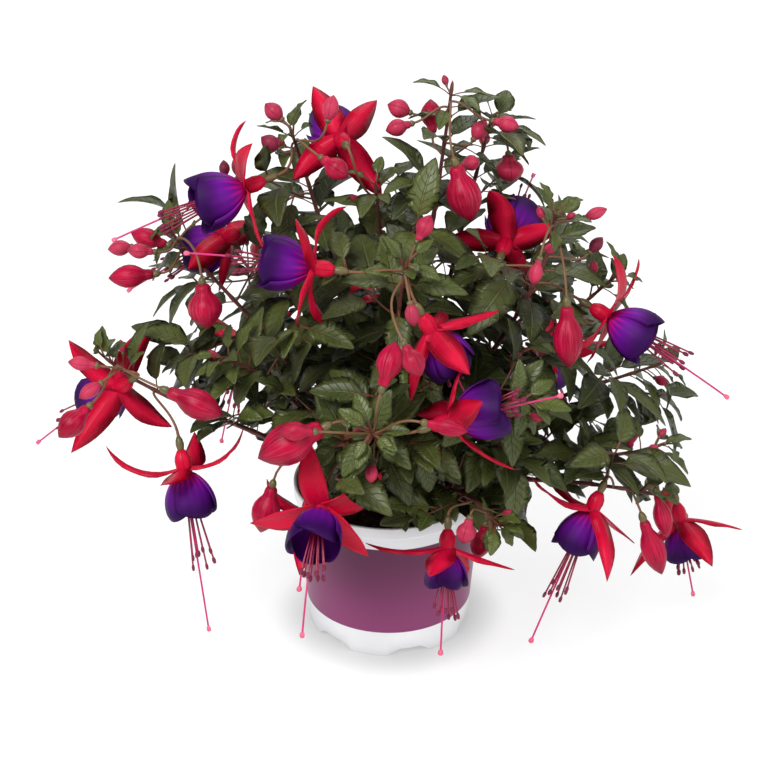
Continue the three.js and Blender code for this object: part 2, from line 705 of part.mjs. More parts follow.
// The bell's radius at a share of its length: it fills out and then draws in towards its mouth.
function bellRadius({ bell }, share) {
  const widening = Math.sin((Math.PI / 2) * Math.min(1, share / bloom.bellWidest) ** 0.8);
  const closing = Math.max(0, share - bloom.bellWidest) / (1 - bloom.bellWidest);
  return bell * bloom.corollaRadius * (0.17 + 0.86 * widening - bloom.bellClosing * closing ** 2);
}

// One petal of the bell, a curved sheet that widens from a point in the collar. One edge lies under a
// neighbour and the other over the next. Its faces share the rim, and their inner points stand apart.
function makePetal(frame, i) {
  const columns = 3;
  const rowShares = [0.3, 0.66, 1];
  const middle = frame.turn + 45 + i * 90;
  const points = [bloomPoint(frame, bloom.collar * 0.4, bloom.collarRadius * 0.4, middle)];
  const numberOf = {};
  rowShares.forEach((rowShare, r) => {
    for (let c = 0; c <= columns; c++) {
      const out = (2 * c) / columns - 1;
      const share = rowShare < 1 ? rowShare : 1 - bloom.petalArch * out * out;
      const radius = bellRadius(frame, share) + out * bloom.petalLap;
      const along = bloom.seat + share * bloom.corolla * frame.bell;
      const place = (offset) => bloomPoint(frame, along, radius + offset, middle + out * bloom.petalSpan);
      const isInside = rowShare < 1 && c > 0 && c < columns;
      numberOf[`${r},${c},1`] = points.length;
      numberOf[`${r},${c},-1`] = points.length + (isInside ? 1 : 0);
      if (isInside) points.push(place(bloom.petalThick / 2), place(-bloom.petalThick / 2));
      else points.push(place(0));
    }
  });
  const index = [];
  for (let c = 0; c < columns; c++) {
    for (const face of [1, -1]) {
      const corner = (r, dc) => numberOf[`${r},${c + dc},${face}`];
      const split = [0, corner(0, 0), corner(0, 1)];
      for (let r = 0; r < rowShares.length - 1; r++) {
        const [a, b] = [corner(r, 0), corner(r, 1)];
        const [under, aside] = [corner(r + 1, 0), corner(r + 1, 1)];
        const slantsDown = (r === 0) === c < columns / 2;
        if (slantsDown) split.push(b, a, aside, a, under, aside);
        else split.push(b, a, under, b, under, aside);
      }
      index.push(...(face === 1 ? split : split.reverse()));
    }
  }
  const geometry = new THREE.BufferGeometry().setFromPoints(points);
  geometry.setIndex(index);
  return solidOf(geometry);
}

function makeCorolla(frame) {
  const turns = [0, 60, 120, 180, 240, 300];
  const ring = (along, radius) => turns.map((turn) => bloomPoint(frame, along, radius, turn));
  const collar = ringBody([
    ring(bloom.seat, bloom.collarRadius * 0.7),
    ring(bloom.collar, bloom.collarRadius),
  ]);
  const hole = ringBody([ring(-1, bloom.collarHole), ring(bloom.collar + 2, bloom.collarHole)]);
  const petals = Array.from({ length: bloom.petals }, (_, i) => makePetal(frame, i));
  return wasm.Manifold.union([collar, ...petals]).subtract(hole);
}

// Where the stamens and the pistil run: apart from the end of their bundle. The pistil comes last.
function threadPaths(frame, count) {
  const draw = draws(Math.round(frame.throat.x * 7 + frame.throat.z * 13 + 9000));
  return Array.from({ length: count + 1 }, (_, i) => {
    const isPistil = i === count;
    const length = frame.pistil * (isPistil ? 1 : bloom.stamenShare * draw(0.86, 1.12));
    const degrees = frame.turn + 20 + (i * 360) / (count + 1);
    const spread = isPistil ? 2 : draw(5, 8);
    const sag = frame.sag * (length / bloom.pistil) ** 2;
    const start = bloom.bundle - 1.5;
    return [0, 0.4, 0.93, 1].map((share) => {
      const radius = 1.05 + (spread - 1.05) * share;
      return bloomPoint(frame, start + share * (length - start), radius, degrees).addScaledVector(
        up,
        -sag * share * share,
      );
    });
  });
}

function makeHeart(frame) {
  const place = (along) => bloomPoint(frame, along, 0, 0);
  const tubeRadii = [0.62, 1, 0.84].map((share) => share * bloom.tubeRadius * frame.size);
  const tube = roundBody([-1, -0.5, 0].map((share) => place(share * bloom.tube)), tubeRadii, 6);
  const bundleRadius = bloom.bundleRadius * frame.size;
  const bundle = roundBody([place(-2), place(bloom.bundle)], [bundleRadius, bundleRadius], 6);
  const threads = threadPaths(frame, bloom.stamens).map((path, i) => {
    const isPistil = i === bloom.stamens;
    const swelling = isPistil ? [1.7, 1.2] : [1.15, 0];
    return roundBody(path, [bloom.filament, bloom.filament, ...swelling], 3);
  });
  const sepals = frame.sepals.map((sepal) => makeSepal(frame, sepal));
  return wasm.Manifold.union([tube, bundle, ...threads, ...sepals]);
}

// The room that a whole bloom takes.
function claimBloom(frame, owner) {
  frame.sepals.forEach((sepal) => {
    const half = (share) => sepalHalf(share, frame.size);
    taken.push(claim(bladePoints(sepalLine(frame, sepal), half, 0.16, 10, 3), room.petal, owner));
  });
  const bell = [];
  for (let share = 0.1; share <= 1; share += 0.15) {
    for (let degrees = 0; degrees < 360; degrees += 24) {
      bell.push(bloomPoint(frame, share * bloom.corolla * frame.bell, bellRadius(frame, share), degrees));
    }
  }
  taken.push(claim(bell, room.petal, owner));
  const axis = pointsBetween(bloomPoint(frame, -bloom.tube - bloom.ovary, 0, 0), frame.throat, 4);
  taken.push(claim(axis, bloom.tubeRadius, owner));
  threadPaths(frame, 8).forEach((path) => {
    const points = path.slice(1).flatMap((p, i) => pointsBetween(path[i], p, 3));
    taken.push(claim(points, room.thread, owner));
  });
}

// ---------------------------------------------------------------- leaves

// Half width of a leaf at a share of its whole length, stalk included.
function leafHalf(share, length) {
  const blade = (share * (length + leaf.petiole) - leaf.petiole) / length;
  if (blade <= 0) return leaf.petioleHalf;
  const width = leaf.halfWidth * (length / leaf.length);
  return leaf.petioleHalf + width * Math.sin(Math.PI * Math.min(1, blade) ** 0.82) ** 0.9;
}

// The arc of a leaf that grows out of a stem, lengthened by its stalk. Its face turns to the light.
function leafLine({ at, way, across }, length, turn, slope, droop, bend) {
  const out = around(way, across, turn);
  const along = out.multiplyScalar(Math.sin(slope)).addScaledVector(way, Math.cos(slope));
  along.addScaledVector(up, -droop).normalize();
  const face = vector(at.x * 0.006, at.y * 0.006, 1);
  face.addScaledVector(along, -face.dot(along)).normalize();
  return { root: at, along, face, length: length + leaf.petiole, bend };
}

function makeLeaf({ line, length, draw }) {
  const junction = leaf.petiole / (length + leaf.petiole);
  const shares = length > 38 ? [0.02, 0.26, 0.52, 0.8] : [0.03, 0.36, 0.72];
  const stations = shares.map((blade, i) => {
    const share = junction + blade * (1 - junction);
    const half = leafHalf(share, length);
    const lift = leaf.fold * half;
    const wave = (i % 2 ? 1 : -1) * leaf.wave * Math.min(1, half / 6);
    return { share, half, left: lift + wave * draw(0.3, 1), right: lift - wave * draw(0.3, 1) };
  });
  return bladeBody(line, stations, leaf.thick);
}

// Whether a point is too near the pot or the soil, or below the hem.
function isTooLow({ x, y, z }) {
  const r = Math.sqrt(x * x + y * y);
  const [, level] = hem.findLast(([from]) => x >= from);
  if (z < level - hemSlope * y) return true;
  return r < pot.rimRadius + 4 && z < (r < pot.rimRadius - 5 ? soil.level + 7 : pot.height + 4);
}

// Whether a point is in front of the heart of a bloom, which hangs in the open.
function hidesBloom(point) {
  return bloomFrames.some((frame) => {
    const away = point.clone().sub(bloomPoint(frame, room.heart, 0, 0));
    const ahead = away.dot(viewer);
    return ahead > 0 && ahead < room.ahead && away.addScaledVector(viewer, -ahead).length() < room.around;
  });
}

// One leaf at a place on a stem. It tries a few turns, slopes and droops, a little smaller each
// time, and keeps the first that is clear.
function growLeaf(frame, owner, seed, turn, length, slope) {
  const draw = draws(seed);
  const firstTurn = turn + draw(-0.3, 0.3);
  const firstSlope = slope + draw(-0.15, 0.15);
  const firstLength = length * draw(0.85, 1.08);
  for (let attempt = 0; attempt < leaf.attempts; attempt++) {
    const swing = Math.ceil(attempt / 2) * (attempt % 2 ? 0.3 : -0.3);
    const smaller = firstLength * (1 - 0.04 * attempt);
    const droop = draw(0.02, 0.4);
    const bend = draw(0.35, 1.15);
    const line = leafLine(frame, smaller, firstTurn + swing, firstSlope - 0.04 * attempt, droop, bend);
    const start = (leaf.petiole + 0.12 * smaller) / (leaf.petiole + smaller);
    const half = (share) => leafHalf(share, smaller);
    const rows = Math.max(4, Math.ceil(smaller / 4));
    const points = bladePoints(line, half, start, rows, smaller > 30 ? 5 : 3);
    const thing = claim(points, room.blade, owner);
    if (!points.some(isTooLow) && !points.some(hidesBloom) && isClear(thing)) {
      taken.push(thing);
      return { line, length: smaller, draw };
    }
  }
  return null;
}

// Leaves stand in crossed pairs, closer together and smaller towards the tip.
function growLeaves({ frames }, number) {
  const found = [];
  let toTip = 4;
  for (let pair = 0; toTip < frames[0].toTip - leaf.firstAt; pair++) {
    const frame = frames.findLast((one) => one.toTip >= toTip);
    const grown = Math.min(1, toTip / leaf.growth);
    const length = leaf.length * (0.34 + 0.66 * Math.sqrt(grown));
    for (let side = 0; side < 2; side++) {
      const seed = number * 1000 + pair * 10 + side + 1;
      const turn = (pair % 2) * (Math.PI / 2) + side * Math.PI + number;
      const slope = 1.1 - 0.35 * (1 - grown);
      const one = growLeaf(frame, `leaf ${seed}`, seed, turn, length, slope);
      if (one) found.push(one);
    }
    toTip += leaf.spacingHigh + (leaf.spacingLow - leaf.spacingHigh) * grown;
  }
  return found;
}

// ---------------------------------------------------------------- growth

shoots.forEach((shoot) => {
  shoot.frames = stemFrames(shoot);
  shoot.parts = [makeStem(shoot)];
  taken.push(claim(shoot.frames.map(({ at }) => at), room.stem, shoot.name));
});

const bloomFrames = blooms.map(bloomFrame);
bloomFrames.forEach((frame, i) => claimBloom(frame, `bloom ${i}`));
bloomFrames.forEach(growBloomStalk);
largeBuds.forEach(growLargeBud);
shoots.forEach(growTipBuds);
shoots.forEach((shoot, number) => {
  const carried = growLeaves(shoot, number).filter(({ length }) => length >= leaf.least);
  shoot.parts.push(...carried.map(makeLeaf));
});

// ---------------------------------------------------------------- the object

const white = new THREE.MeshStandardMaterial({ color: 0xf1f2f4, roughness: 0.4, metalness: 0 });
const peat = new THREE.MeshStandardMaterial({ color: 0x2b1d14, roughness: 0.95, metalness: 0 });
const leafy = new THREE.MeshStandardMaterial({ color: 0x3a4a2c, roughness: 0.55, metalness: 0 });
const red = new THREE.MeshStandardMaterial({ color: 0xc9102f, roughness: 0.45, metalness: 0 });
const violet = new THREE.MeshStandardMaterial({ color: 0x37116e, roughness: 0.5, metalness: 0 });

const plant = new THREE.Group();
function add(name, solid, material) {
  const mesh = new THREE.Mesh(geometryOf(solid.asOriginal().simplify(sliver)), material);
  mesh.name = name;
  plant.add(mesh);
}

add("pot", makePot(), white);
add("soil", makeSoil(shoots.map(stemHole)), peat);
shoots.forEach((shoot) => add(`shoot_${shoot.name}`, wasm.Manifold.union(shoot.parts), leafy));
bloomFrames.forEach((frame, i) => {
  const number = String(i + 1).padStart(2, "0");
  add(`bloom_${number}_red`, makeHeart(frame), red);
  add(`bloom_${number}_corolla`, makeCorolla(frame), violet);
});

export default plant;
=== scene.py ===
import math

import bmesh
import bpy
import numpy as np
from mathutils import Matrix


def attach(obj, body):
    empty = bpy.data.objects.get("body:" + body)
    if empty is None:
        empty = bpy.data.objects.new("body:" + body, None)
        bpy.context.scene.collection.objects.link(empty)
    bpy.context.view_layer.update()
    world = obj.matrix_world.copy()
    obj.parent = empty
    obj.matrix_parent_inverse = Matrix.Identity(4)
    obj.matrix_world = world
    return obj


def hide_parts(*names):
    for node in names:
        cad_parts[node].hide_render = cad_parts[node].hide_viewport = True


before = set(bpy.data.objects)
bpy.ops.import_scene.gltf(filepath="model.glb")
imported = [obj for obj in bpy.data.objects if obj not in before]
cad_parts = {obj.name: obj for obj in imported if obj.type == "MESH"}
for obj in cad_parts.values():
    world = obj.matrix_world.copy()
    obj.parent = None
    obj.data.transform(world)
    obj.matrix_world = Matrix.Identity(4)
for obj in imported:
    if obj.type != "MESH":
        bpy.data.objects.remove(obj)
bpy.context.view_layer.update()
scene = bpy.context.scene
millimetre = 0.001
print("frame loaded:", len(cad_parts), "nodes")


# Small tools

def vec(*numbers):
    return np.array(numbers, float)


def unit(v):
    return v / math.sqrt(v @ v)


def away(a, b):
    return math.sqrt((a - b) @ (a - b))


def lerp(a, b, share):
    return a + (b - a) * share


def around(way, across, turn):  # the direction at a turn round a way
    return across * math.cos(turn) + np.cross(way, across) * math.sin(turn)


def bezier(a, b, c, d, count):
    shares = [i / count for i in range(count + 1)]
    return [a * (1 - t) ** 3 + b * 3 * t * (1 - t) ** 2 + c * 3 * t * t * (1 - t) + d * t**3 for t in shares]


def pointsBetween(a, b, step):
    count = max(1, math.ceil(away(a, b) / step))
    return [lerp(a, b, i / count) for i in range(count + 1)]


def draws(seed):  # repeatable draws: each thing that is placed has a generator of its own
    span = 2147483647
    state = [(seed * 7919 + 104729) % span]

    def draw(low, high):
        state[0] = state[0] * 16807 % span
        return low + (high - low) * state[0] / span

    return draw


up = vec(0, 0, 1)


# Node trees

class NodeValue:
    # a socket that takes part in sums, through Math nodes
    def __init__(self, plan, socket):
        self.plan = plan
        self.socket = socket

    def of(self, operation, other=0.0, swapped=False):
        first, second = (other, self) if swapped else (self, other)
        return self.plan.add("ShaderNodeMath", {"operation": operation}, {0: first, 1: second})

    def __add__(self, other):
        return self.of("ADD", other)

    def __sub__(self, other):
        return self.of("SUBTRACT", other)

    def __rsub__(self, other):
        return self.of("SUBTRACT", other, True)

    def __mul__(self, other):
        return self.of("MULTIPLY", other)

    def __truediv__(self, other):
        return self.of("DIVIDE", other)

    def __pow__(self, other):
        return self.of("POWER", other)

    __radd__ = __add__
    __rmul__ = __mul__


class NodePlan:
    # adds nodes to a tree and links them
    def __init__(self, tree):
        self.tree = tree

    def add(self, kind, settings=None, sockets=None, out=0):
        node = self.tree.nodes.new(kind)
        for name, value in (settings or {}).items():
            setattr(node, name, value)
        for name, value in (sockets or {}).items():
            if isinstance(value, NodeValue):
                self.tree.links.new(value.socket, node.inputs[name])
            else:
                node.inputs[name].default_value = value
        return NodeValue(self, node.outputs[out])

    def vector(self, operation, first, second):
        return self.add("ShaderNodeVectorMath", {"operation": operation}, {0: first, 1: second})

    def scaled(self, v, factor):
        return self.add("ShaderNodeVectorMath", {"operation": "SCALE"}, {0: v, "Scale": factor})

    def sum(self, *vectors):
        total = vectors[0]
        for v in vectors[1:]:
            total = self.vector("ADD", total, v)
        return total

    def ease(self, value, low, high, start=0.0, end=1.0):  # a soft step from start to end
        sockets = {"Value": value, "From Min": low, "From Max": high, "To Min": start, "To Max": end}
        return self.add("ShaderNodeMapRange", {"interpolation_type": "SMOOTHSTEP"}, sockets)

    def mix(self, factor, first, second):  # of colours
        return self.add("ShaderNodeMix", {"data_type": "RGBA"}, {0: factor, 6: first, 7: second}, 2)

    def place(self):
        return self.add("ShaderNodeTexCoord", None, None, "Object")

    def noise(self, scale, detail=2.0, rough=0.5, stretch=(1, 1, 1), at=None):
        at = self.add("ShaderNodeMapping", None, {"Vector": at or self.place(), "Scale": stretch})
        sockets = {"Vector": at, "Scale": scale, "Detail": detail, "Roughness": rough}
        return self.add("ShaderNodeTexNoise", None, sockets)

    def join(self, x, y, z=0.0):
        return self.add("ShaderNodeCombineXYZ", None, {0: x, 1: y, 2: z})

    def mark(self, name):  # a number that the mesh carries
        return self.add("ShaderNodeAttribute", {"attribute_name": name}, None, "Fac")

    def bump(self, height, strength, depth):
        return self.add("ShaderNodeBump", None, {"Height": height, "Strength": strength, "Distance": depth})


def ink(red, green, blue):  # a screen colour, 0 to 255, as light
    shares = [((c / 255 + 0.055) / 1.055) ** 2.4 if c > 10 else c / 3295 for c in (red, green, blue)]
    return (*shares, 1.0)


def finish(name, constants, paint):  # a material: constants on the shader, and what varies from paint
    made = bpy.data.materials.new(name)
    made.use_nodes = True
    plan = NodePlan(made.node_tree)
    shader = made.node_tree.nodes["Principled BSDF"]
    for socket, value in constants.items():
        shader.inputs[socket].default_value = value
    for socket, value in paint(plan).items():
        plan.tree.links.new(value.socket, shader.inputs[socket])
    return made


def growthTree(name, inputs, build):  # a geometry tree with named inputs
    tree = bpy.data.node_groups.new(name, "GeometryNodeTree")
    tree.interface.new_socket("Geometry", in_out="INPUT", socket_type="NodeSocketGeometry")
    for label, kind in inputs.items():
        tree.interface.new_socket(label, in_out="INPUT", socket_type="NodeSocket" + kind)
    tree.interface.new_socket("Geometry", in_out="OUTPUT", socket_type="NodeSocketGeometry")
    plan = NodePlan(tree)
    given = {s.name: NodeValue(plan, s) for s in tree.nodes.new("NodeGroupInput").outputs if s.name}
    shape = plan.add("GeometryNodeRealizeInstances", None, {"Geometry": build(plan, given)})
    shape = plan.add("GeometryNodeSetShadeSmooth", None, {0: shape})
    shape = plan.add("GeometryNodeSetMaterial", None, {"Geometry": shape, "Material": given["Material"]})
    tree.links.new(shape.socket, tree.nodes.new("NodeGroupOutput").inputs[0])
    return tree


def read(plan, name, kind="FLOAT"):
    return plan.add("GeometryNodeInputNamedAttribute", {"data_type": kind}, {"Name": name})


def template(plan, given):
    return plan.add("GeometryNodeObjectInfo", None, {"Object": given["Template"]}, "Geometry")


# Blades: a flat template on each point is bent along an arc that leaves the root and falls back from
# its face.
def bladeGrowth(plan, given):
    on = {"Points": given["Geometry"], "Instance": template(plan, given)}
    placed = plan.add("GeometryNodeInstanceOnPoints", None, on)
    blades = plan.add("GeometryNodeRealizeInstances", None, {0: placed})
    root, along, face = (read(plan, name, "FLOAT_VECTOR") for name in ("root", "along", "face"))
    lineMarks = ("bladeLength", "bend", "phase", "sway", "broad")
    length, bend, phase, sway, broad = (read(plan, name) for name in lineMarks)
    side, onStalk, onBlade, width, layer = (read(plan, name) for name in templateMarks)
    whole = length + given["Stalk"]
    turned = bend * (onStalk * given["Stalk"] + onBlade * length) / whole
    reach = whole / bend
    half = width * broad * given["Half Width"] + given["Stalk Half"]
    offCentre = side.of("ABSOLUTE")
    ripple = (onBlade * 13 + side * 2 + phase).of("SINE") * given["Wave"] * offCentre * width
    rise = offCentre**1.3 * half * given["Fold"] + ripple + layer * given["Thickness"] * 0.5
    out = side * half + sway * onBlade * onBlade * length
    middle = plan.sum(
        root,
        plan.scaled(along, reach * turned.of("SINE")),
        plan.scaled(face, reach * (turned.of("COSINE") - 1)),
    )
    normal = plan.sum(plan.scaled(face, turned.of("COSINE")), plan.scaled(along, turned.of("SINE")))
    across = plan.vector("CROSS_PRODUCT", along, face)
    place = plan.sum(middle, plan.scaled(across, out), plan.scaled(normal, rise))
    return plan.add("GeometryNodeSetPosition", None, {"Geometry": blades, "Position": place})


def tubeGrowth(plan, given):  # a tube along each line, with a radius at each point
    line = plan.add("GeometryNodeMeshToCurve", None, {0: given["Geometry"]})
    ring = plan.add("GeometryNodeCurvePrimitiveCircle", None, {"Resolution": given["Sides"], "Radius": 1.0})
    sockets = {"Curve": line, "Profile Curve": ring, "Scale": read(plan, "radius"), "Fill Caps": True}
    return plan.add("GeometryNodeCurveToMesh", None, sockets)


def standGrowth(plan, given):  # a template on each point, turned along its way
    way, across, size = (read(plan, name, "FLOAT_VECTOR") for name in ("way", "across", "size"))
    axes = {"Primary Axis": way, "Secondary Axis": across}
    turn = plan.add("FunctionNodeAxesToRotation", {"primary_axis": "Z", "secondary_axis": "X"}, axes)
    on = {"Points": given["Geometry"], "Instance": template(plan, given), "Rotation": turn, "Scale": size}
    return plan.add("GeometryNodeInstanceOnPoints", None, on)


def crumbGrowth(plan, given):  # crumbs scattered over a surface
    sockets = {"Mesh": given["Geometry"], "Density": given["Density"], "Seed": given["Seed"]}
    points = plan.add("GeometryNodeDistributePointsOnFaces", None, sockets)
    anyTurn = {0: (0, 0, 0), 1: (6, 6, 6), "Seed": 3}
    turn = plan.add("FunctionNodeRandomValue", {"data_type": "FLOAT_VECTOR"}, anyTurn)
    sockets = {2: given["Smallest"], 3: given["Largest"], "Seed": 5}
    size = plan.add("FunctionNodeRandomValue", {"data_type": "FLOAT"}, sockets, 1)
    on = {"Points": points, "Instance": template(plan, given), "Rotation": turn, "Scale": size}
    crumbs = plan.add("GeometryNodeInstanceOnPoints", None, on)
    joined = plan.add("GeometryNodeJoinGeometry", None, {0: given["Geometry"]})
    plan.tree.links.new(crumbs.socket, joined.socket.node.inputs[0])
    return joined


templateMarks = ("side", "onStalk", "onBlade", "width", "layer")
lengths = dict.fromkeys(["Stalk", "Stalk Half", "Half Width", "Fold", "Wave", "Thickness"], "Float")
bladeTree = growthTree("bladeGrowth", {"Template": "Object", **lengths, "Material": "Material"}, bladeGrowth)
tubeTree = growthTree("tubeGrowth", {"Sides": "Int", "Material": "Material"}, tubeGrowth)
standTree = growthTree("standGrowth", {"Template": "Object", "Material": "Material"}, standGrowth)
crumbInputs = {"Template": "Object", "Density": "Float", "Seed": "Int"}
crumbInputs.update(Smallest="Float", Largest="Float", Material="Material")
crumbTree = growthTree("crumbGrowth", crumbInputs, crumbGrowth)


def newObject(name, points, edges=(), faces=(), marks=None):
    mesh = bpy.data.meshes.new(name)
    mesh.from_pydata([tuple(float(c) for c in p) for p in points], list(edges), list(faces))
    for label, values in (marks or {}).items():
        numbers = np.array(values, np.float32)
        kind, field = ("FLOAT_VECTOR", "vector") if numbers.ndim == 2 else ("FLOAT", "value")
        mesh.attributes.new(label, kind, "POINT").data.foreach_set(field, numbers.ravel())
    made = bpy.data.objects.new(name, mesh)
    scene.collection.objects.link(made)
    return made


# What is read only while a shape grows, and isn't kept on its mesh.
growthMarks = ("root", "along", "face", "bladeLength", "bend", "phase", "sway", "broad", "width")
standMarks = ("way", "across", "size")


def grown(obj, tree, values):  # runs a tree on an object and keeps the result as its plain mesh
    modifier = obj.modifiers.new("growth", "NODES")
    modifier.node_group = tree
    for item in tree.interface.items_tree:
        if item.in_out == "INPUT" and item.name in values:
            modifier[item.identifier] = values[item.name]
    deps = bpy.context.evaluated_depsgraph_get()
    source = obj.evaluated_get(deps)
    mesh = bpy.data.meshes.new_from_object(source, preserve_all_data_layers=True, depsgraph=deps)
    obj.modifiers.remove(modifier)
    obj.data = mesh
    for label in growthMarks + standMarks:
        if label in mesh.attributes:
            mesh.attributes.remove(mesh.attributes[label])
    return obj


def smoothed(obj, material):
    obj.data.materials.append(material)
    obj.data.shade_smooth()
    return obj


def kept(obj, nodes=()):  # the piece rides on the plant and stands for its CAD nodes
    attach(obj, "root")
    if nodes:
        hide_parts(*nodes)
    print(obj.name, len(obj.data.polygons), "faces")


def dropHelper(obj):
    bpy.data.objects.remove(obj)


# Camera and light

view = {"target": (-0.003, 0.0, 0.168), "pitch": 29.0, "distance": 1.5, "lens": 114.1}


def makeCamera():
    pitch = math.radians(view["pitch"])
    x, y, z = view["target"]
    data = bpy.data.cameras.new("camera")
    data.lens = view["lens"]
    camera = bpy.data.objects.new("camera", data)
    camera.location = (x, y - view["distance"] * math.cos(pitch), z + view["distance"] * math.sin(pitch))
    camera.rotation_euler = (math.pi / 2 - pitch, 0, 0)
    scene.collection.objects.link(camera)
    scene.camera = camera


studio = {
    "sky": 0.35, "floorGlow": 0.71, "floorReach": 40.0, "aim": 0.15,
    "paintedFootShade": (0.049, 0.082),  # the floor's painted shade round the pot's foot is full within the first distance from the axis, and ends at the second
    "key": {"at": (-1.0, -1.6, 2.4), "size": 1.3, "power": 88.0},
    "fill": {"at": (1.9, -1.3, 1.3), "size": 1.8, "power": 26.0},
    "back": {"at": (0.4, 2.0, 2.2), "size": 1.8, "power": 30.0},
}


def makeLight():
    world = bpy.data.worlds.new("studio")
    world.use_nodes = True
    background = world.node_tree.nodes["Background"]
    background.inputs["Color"].default_value = (1, 1, 1, 1)
    background.inputs["Strength"].default_value = studio["sky"]
    scene.world = world
    for name in ("key", "fill", "back"):
        lamp = studio[name]
        data = bpy.data.lights.new(name, "AREA")
        data.size, data.energy = lamp["size"], lamp["power"]
        light = bpy.data.objects.new(name, data)
        light.location = lamp["at"]
        ray = vec(*lamp["at"]) - vec(0, 0, studio["aim"])
        tilt = math.acos(ray[2] / math.sqrt(ray @ ray))
        light.rotation_euler = (tilt, 0, math.atan2(ray[1], ray[0]) + math.pi / 2)
        scene.collection.objects.link(light)


def paintFloor(plan):
    offAxis = plan.add("ShaderNodeVectorMath", {"operation": "LENGTH"}, {0: plan.place()}, "Value")
    # painted shade: the floor's glow is dimmed to half round the pot's foot, as its contact shadow
    paintedFootShade = plan.ease(offAxis, *studio["paintedFootShade"])
    return {
        "Base Color": plan.mix(plan.noise(3.0), (0.34, 0.34, 0.344, 1), (0.36, 0.36, 0.36, 1)),
        "Emission Color": plan.mix(paintedFootShade, (0.5, 0.5, 0.5, 1), (1, 1, 1, 1)),
    }


def makeFloor():
    reach = studio["floorReach"]
    corners = [(-reach, -reach, 0), (reach, -reach, 0), (reach, reach, 0), (-reach, reach, 0)]
    floor = newObject("floor", corners, faces=[(0, 1, 2, 3)])
    constants = {"Roughness": 0.7, "Specular IOR Level": 0.2, "Emission Strength": studio["floorGlow"]}
    floor.data.materials.append(finish("floorWhite", constants, paintFloor))


scene.view_settings.view_transform = "Standard"
makeCamera()
makeLight()
makeFloor()
print("camera, light and floor")


# What grows where. Each leafy stem: its name, its place in the soil, its tip, its heading there, how far
# it rises before it leans out, and how many small buds stand round its tip.
shootRows = [
    ("top_left", (-14, 8), (-59, 30, 326), (-0.3, 0.1, 0.95), 110, 4),
    ("top_middle", (-3, 12), (-8, 4, 300), (-0.1, -0.1, 1), 110, 2),
    ("top_right", (10, 6), (37, 20, 358), (0.1, 0, 1), 110, 5),
    ("top_back", (20, 18), (63, 66, 318), (0.25, 0.25, 0.9), 100, 3),
    ("left_upper", (-24, 2), (-132, 10, 268), (-0.6, 0, 0.8), 80, 4),
    ("left_far", (-28, -10), (-167, -50, 213), (-0.6, -0.1, 0.75), 55, 3),
    ("right_upper", (24, 8), (97, -24, 296), (0, 0, 1), 80, 4),
    ("right_mid", (30, -1), (136, -2, 243), (0.7, 0, 0.7), 70, 2),
    ("right_low", (32, -12), (166, -30, 142), (0.85, -0.1, 0.45), 45, 5),
    ("right_side", (31, 9), (170, 26, 168), (0.9, 0.1, 0.3), 50, 2),
    ("front_centre", (-4, -22), (-10, -135, 212), (-0.1, -0.75, 0.6), 70, 4),
    ("centre", (4, -10), (10, -74, 288), (0.15, -0.3, 0.95), 100, 3),
    ("right_front", (24, -22), (160, -58, 124), (0.9, -0.2, -0.1), 38, 1),
    ("front_left", (-16, -24), (-26, -116, 196), (-0.15, -0.7, 0.5), 45, 1),
    ("front_right", (14, -26), (62, -112, 138), (0.45, -0.8, -0.35), 34, 1),
    ("left_mid", (-26, -20), (-96, -62, 220), (-0.7, -0.4, 0.5), 60, 1),
    ("right_centre", (18, -14), (78, -92, 208), (0.5, -0.6, 0.5), 70, 2),
    ("back_left", (-18, 22), (-108, 112, 216), (-0.6, 0.6, 0.5), 70, 4),
    ("back_centre", (2, 28), (4, 142, 206), (0, 0.85, 0.5), 70, 4),
    ("back_right", (24, 24), (122, 106, 200), (0.6, 0.6, 0.45), 65, 4),
]
shoots = [dict(zip(("name", "root", "tip", "heading", "rise", "buds"), row)) for row in shootRows]

# The hem of the bush: from each x on, no leaf hangs below this level. It is the level at y = 0, and the
# hem rises towards the front.
hem = [(-400, 124), (-45, 75), (-10, 62), (52, 46), (90, 80)]
hemSlope = 0.62

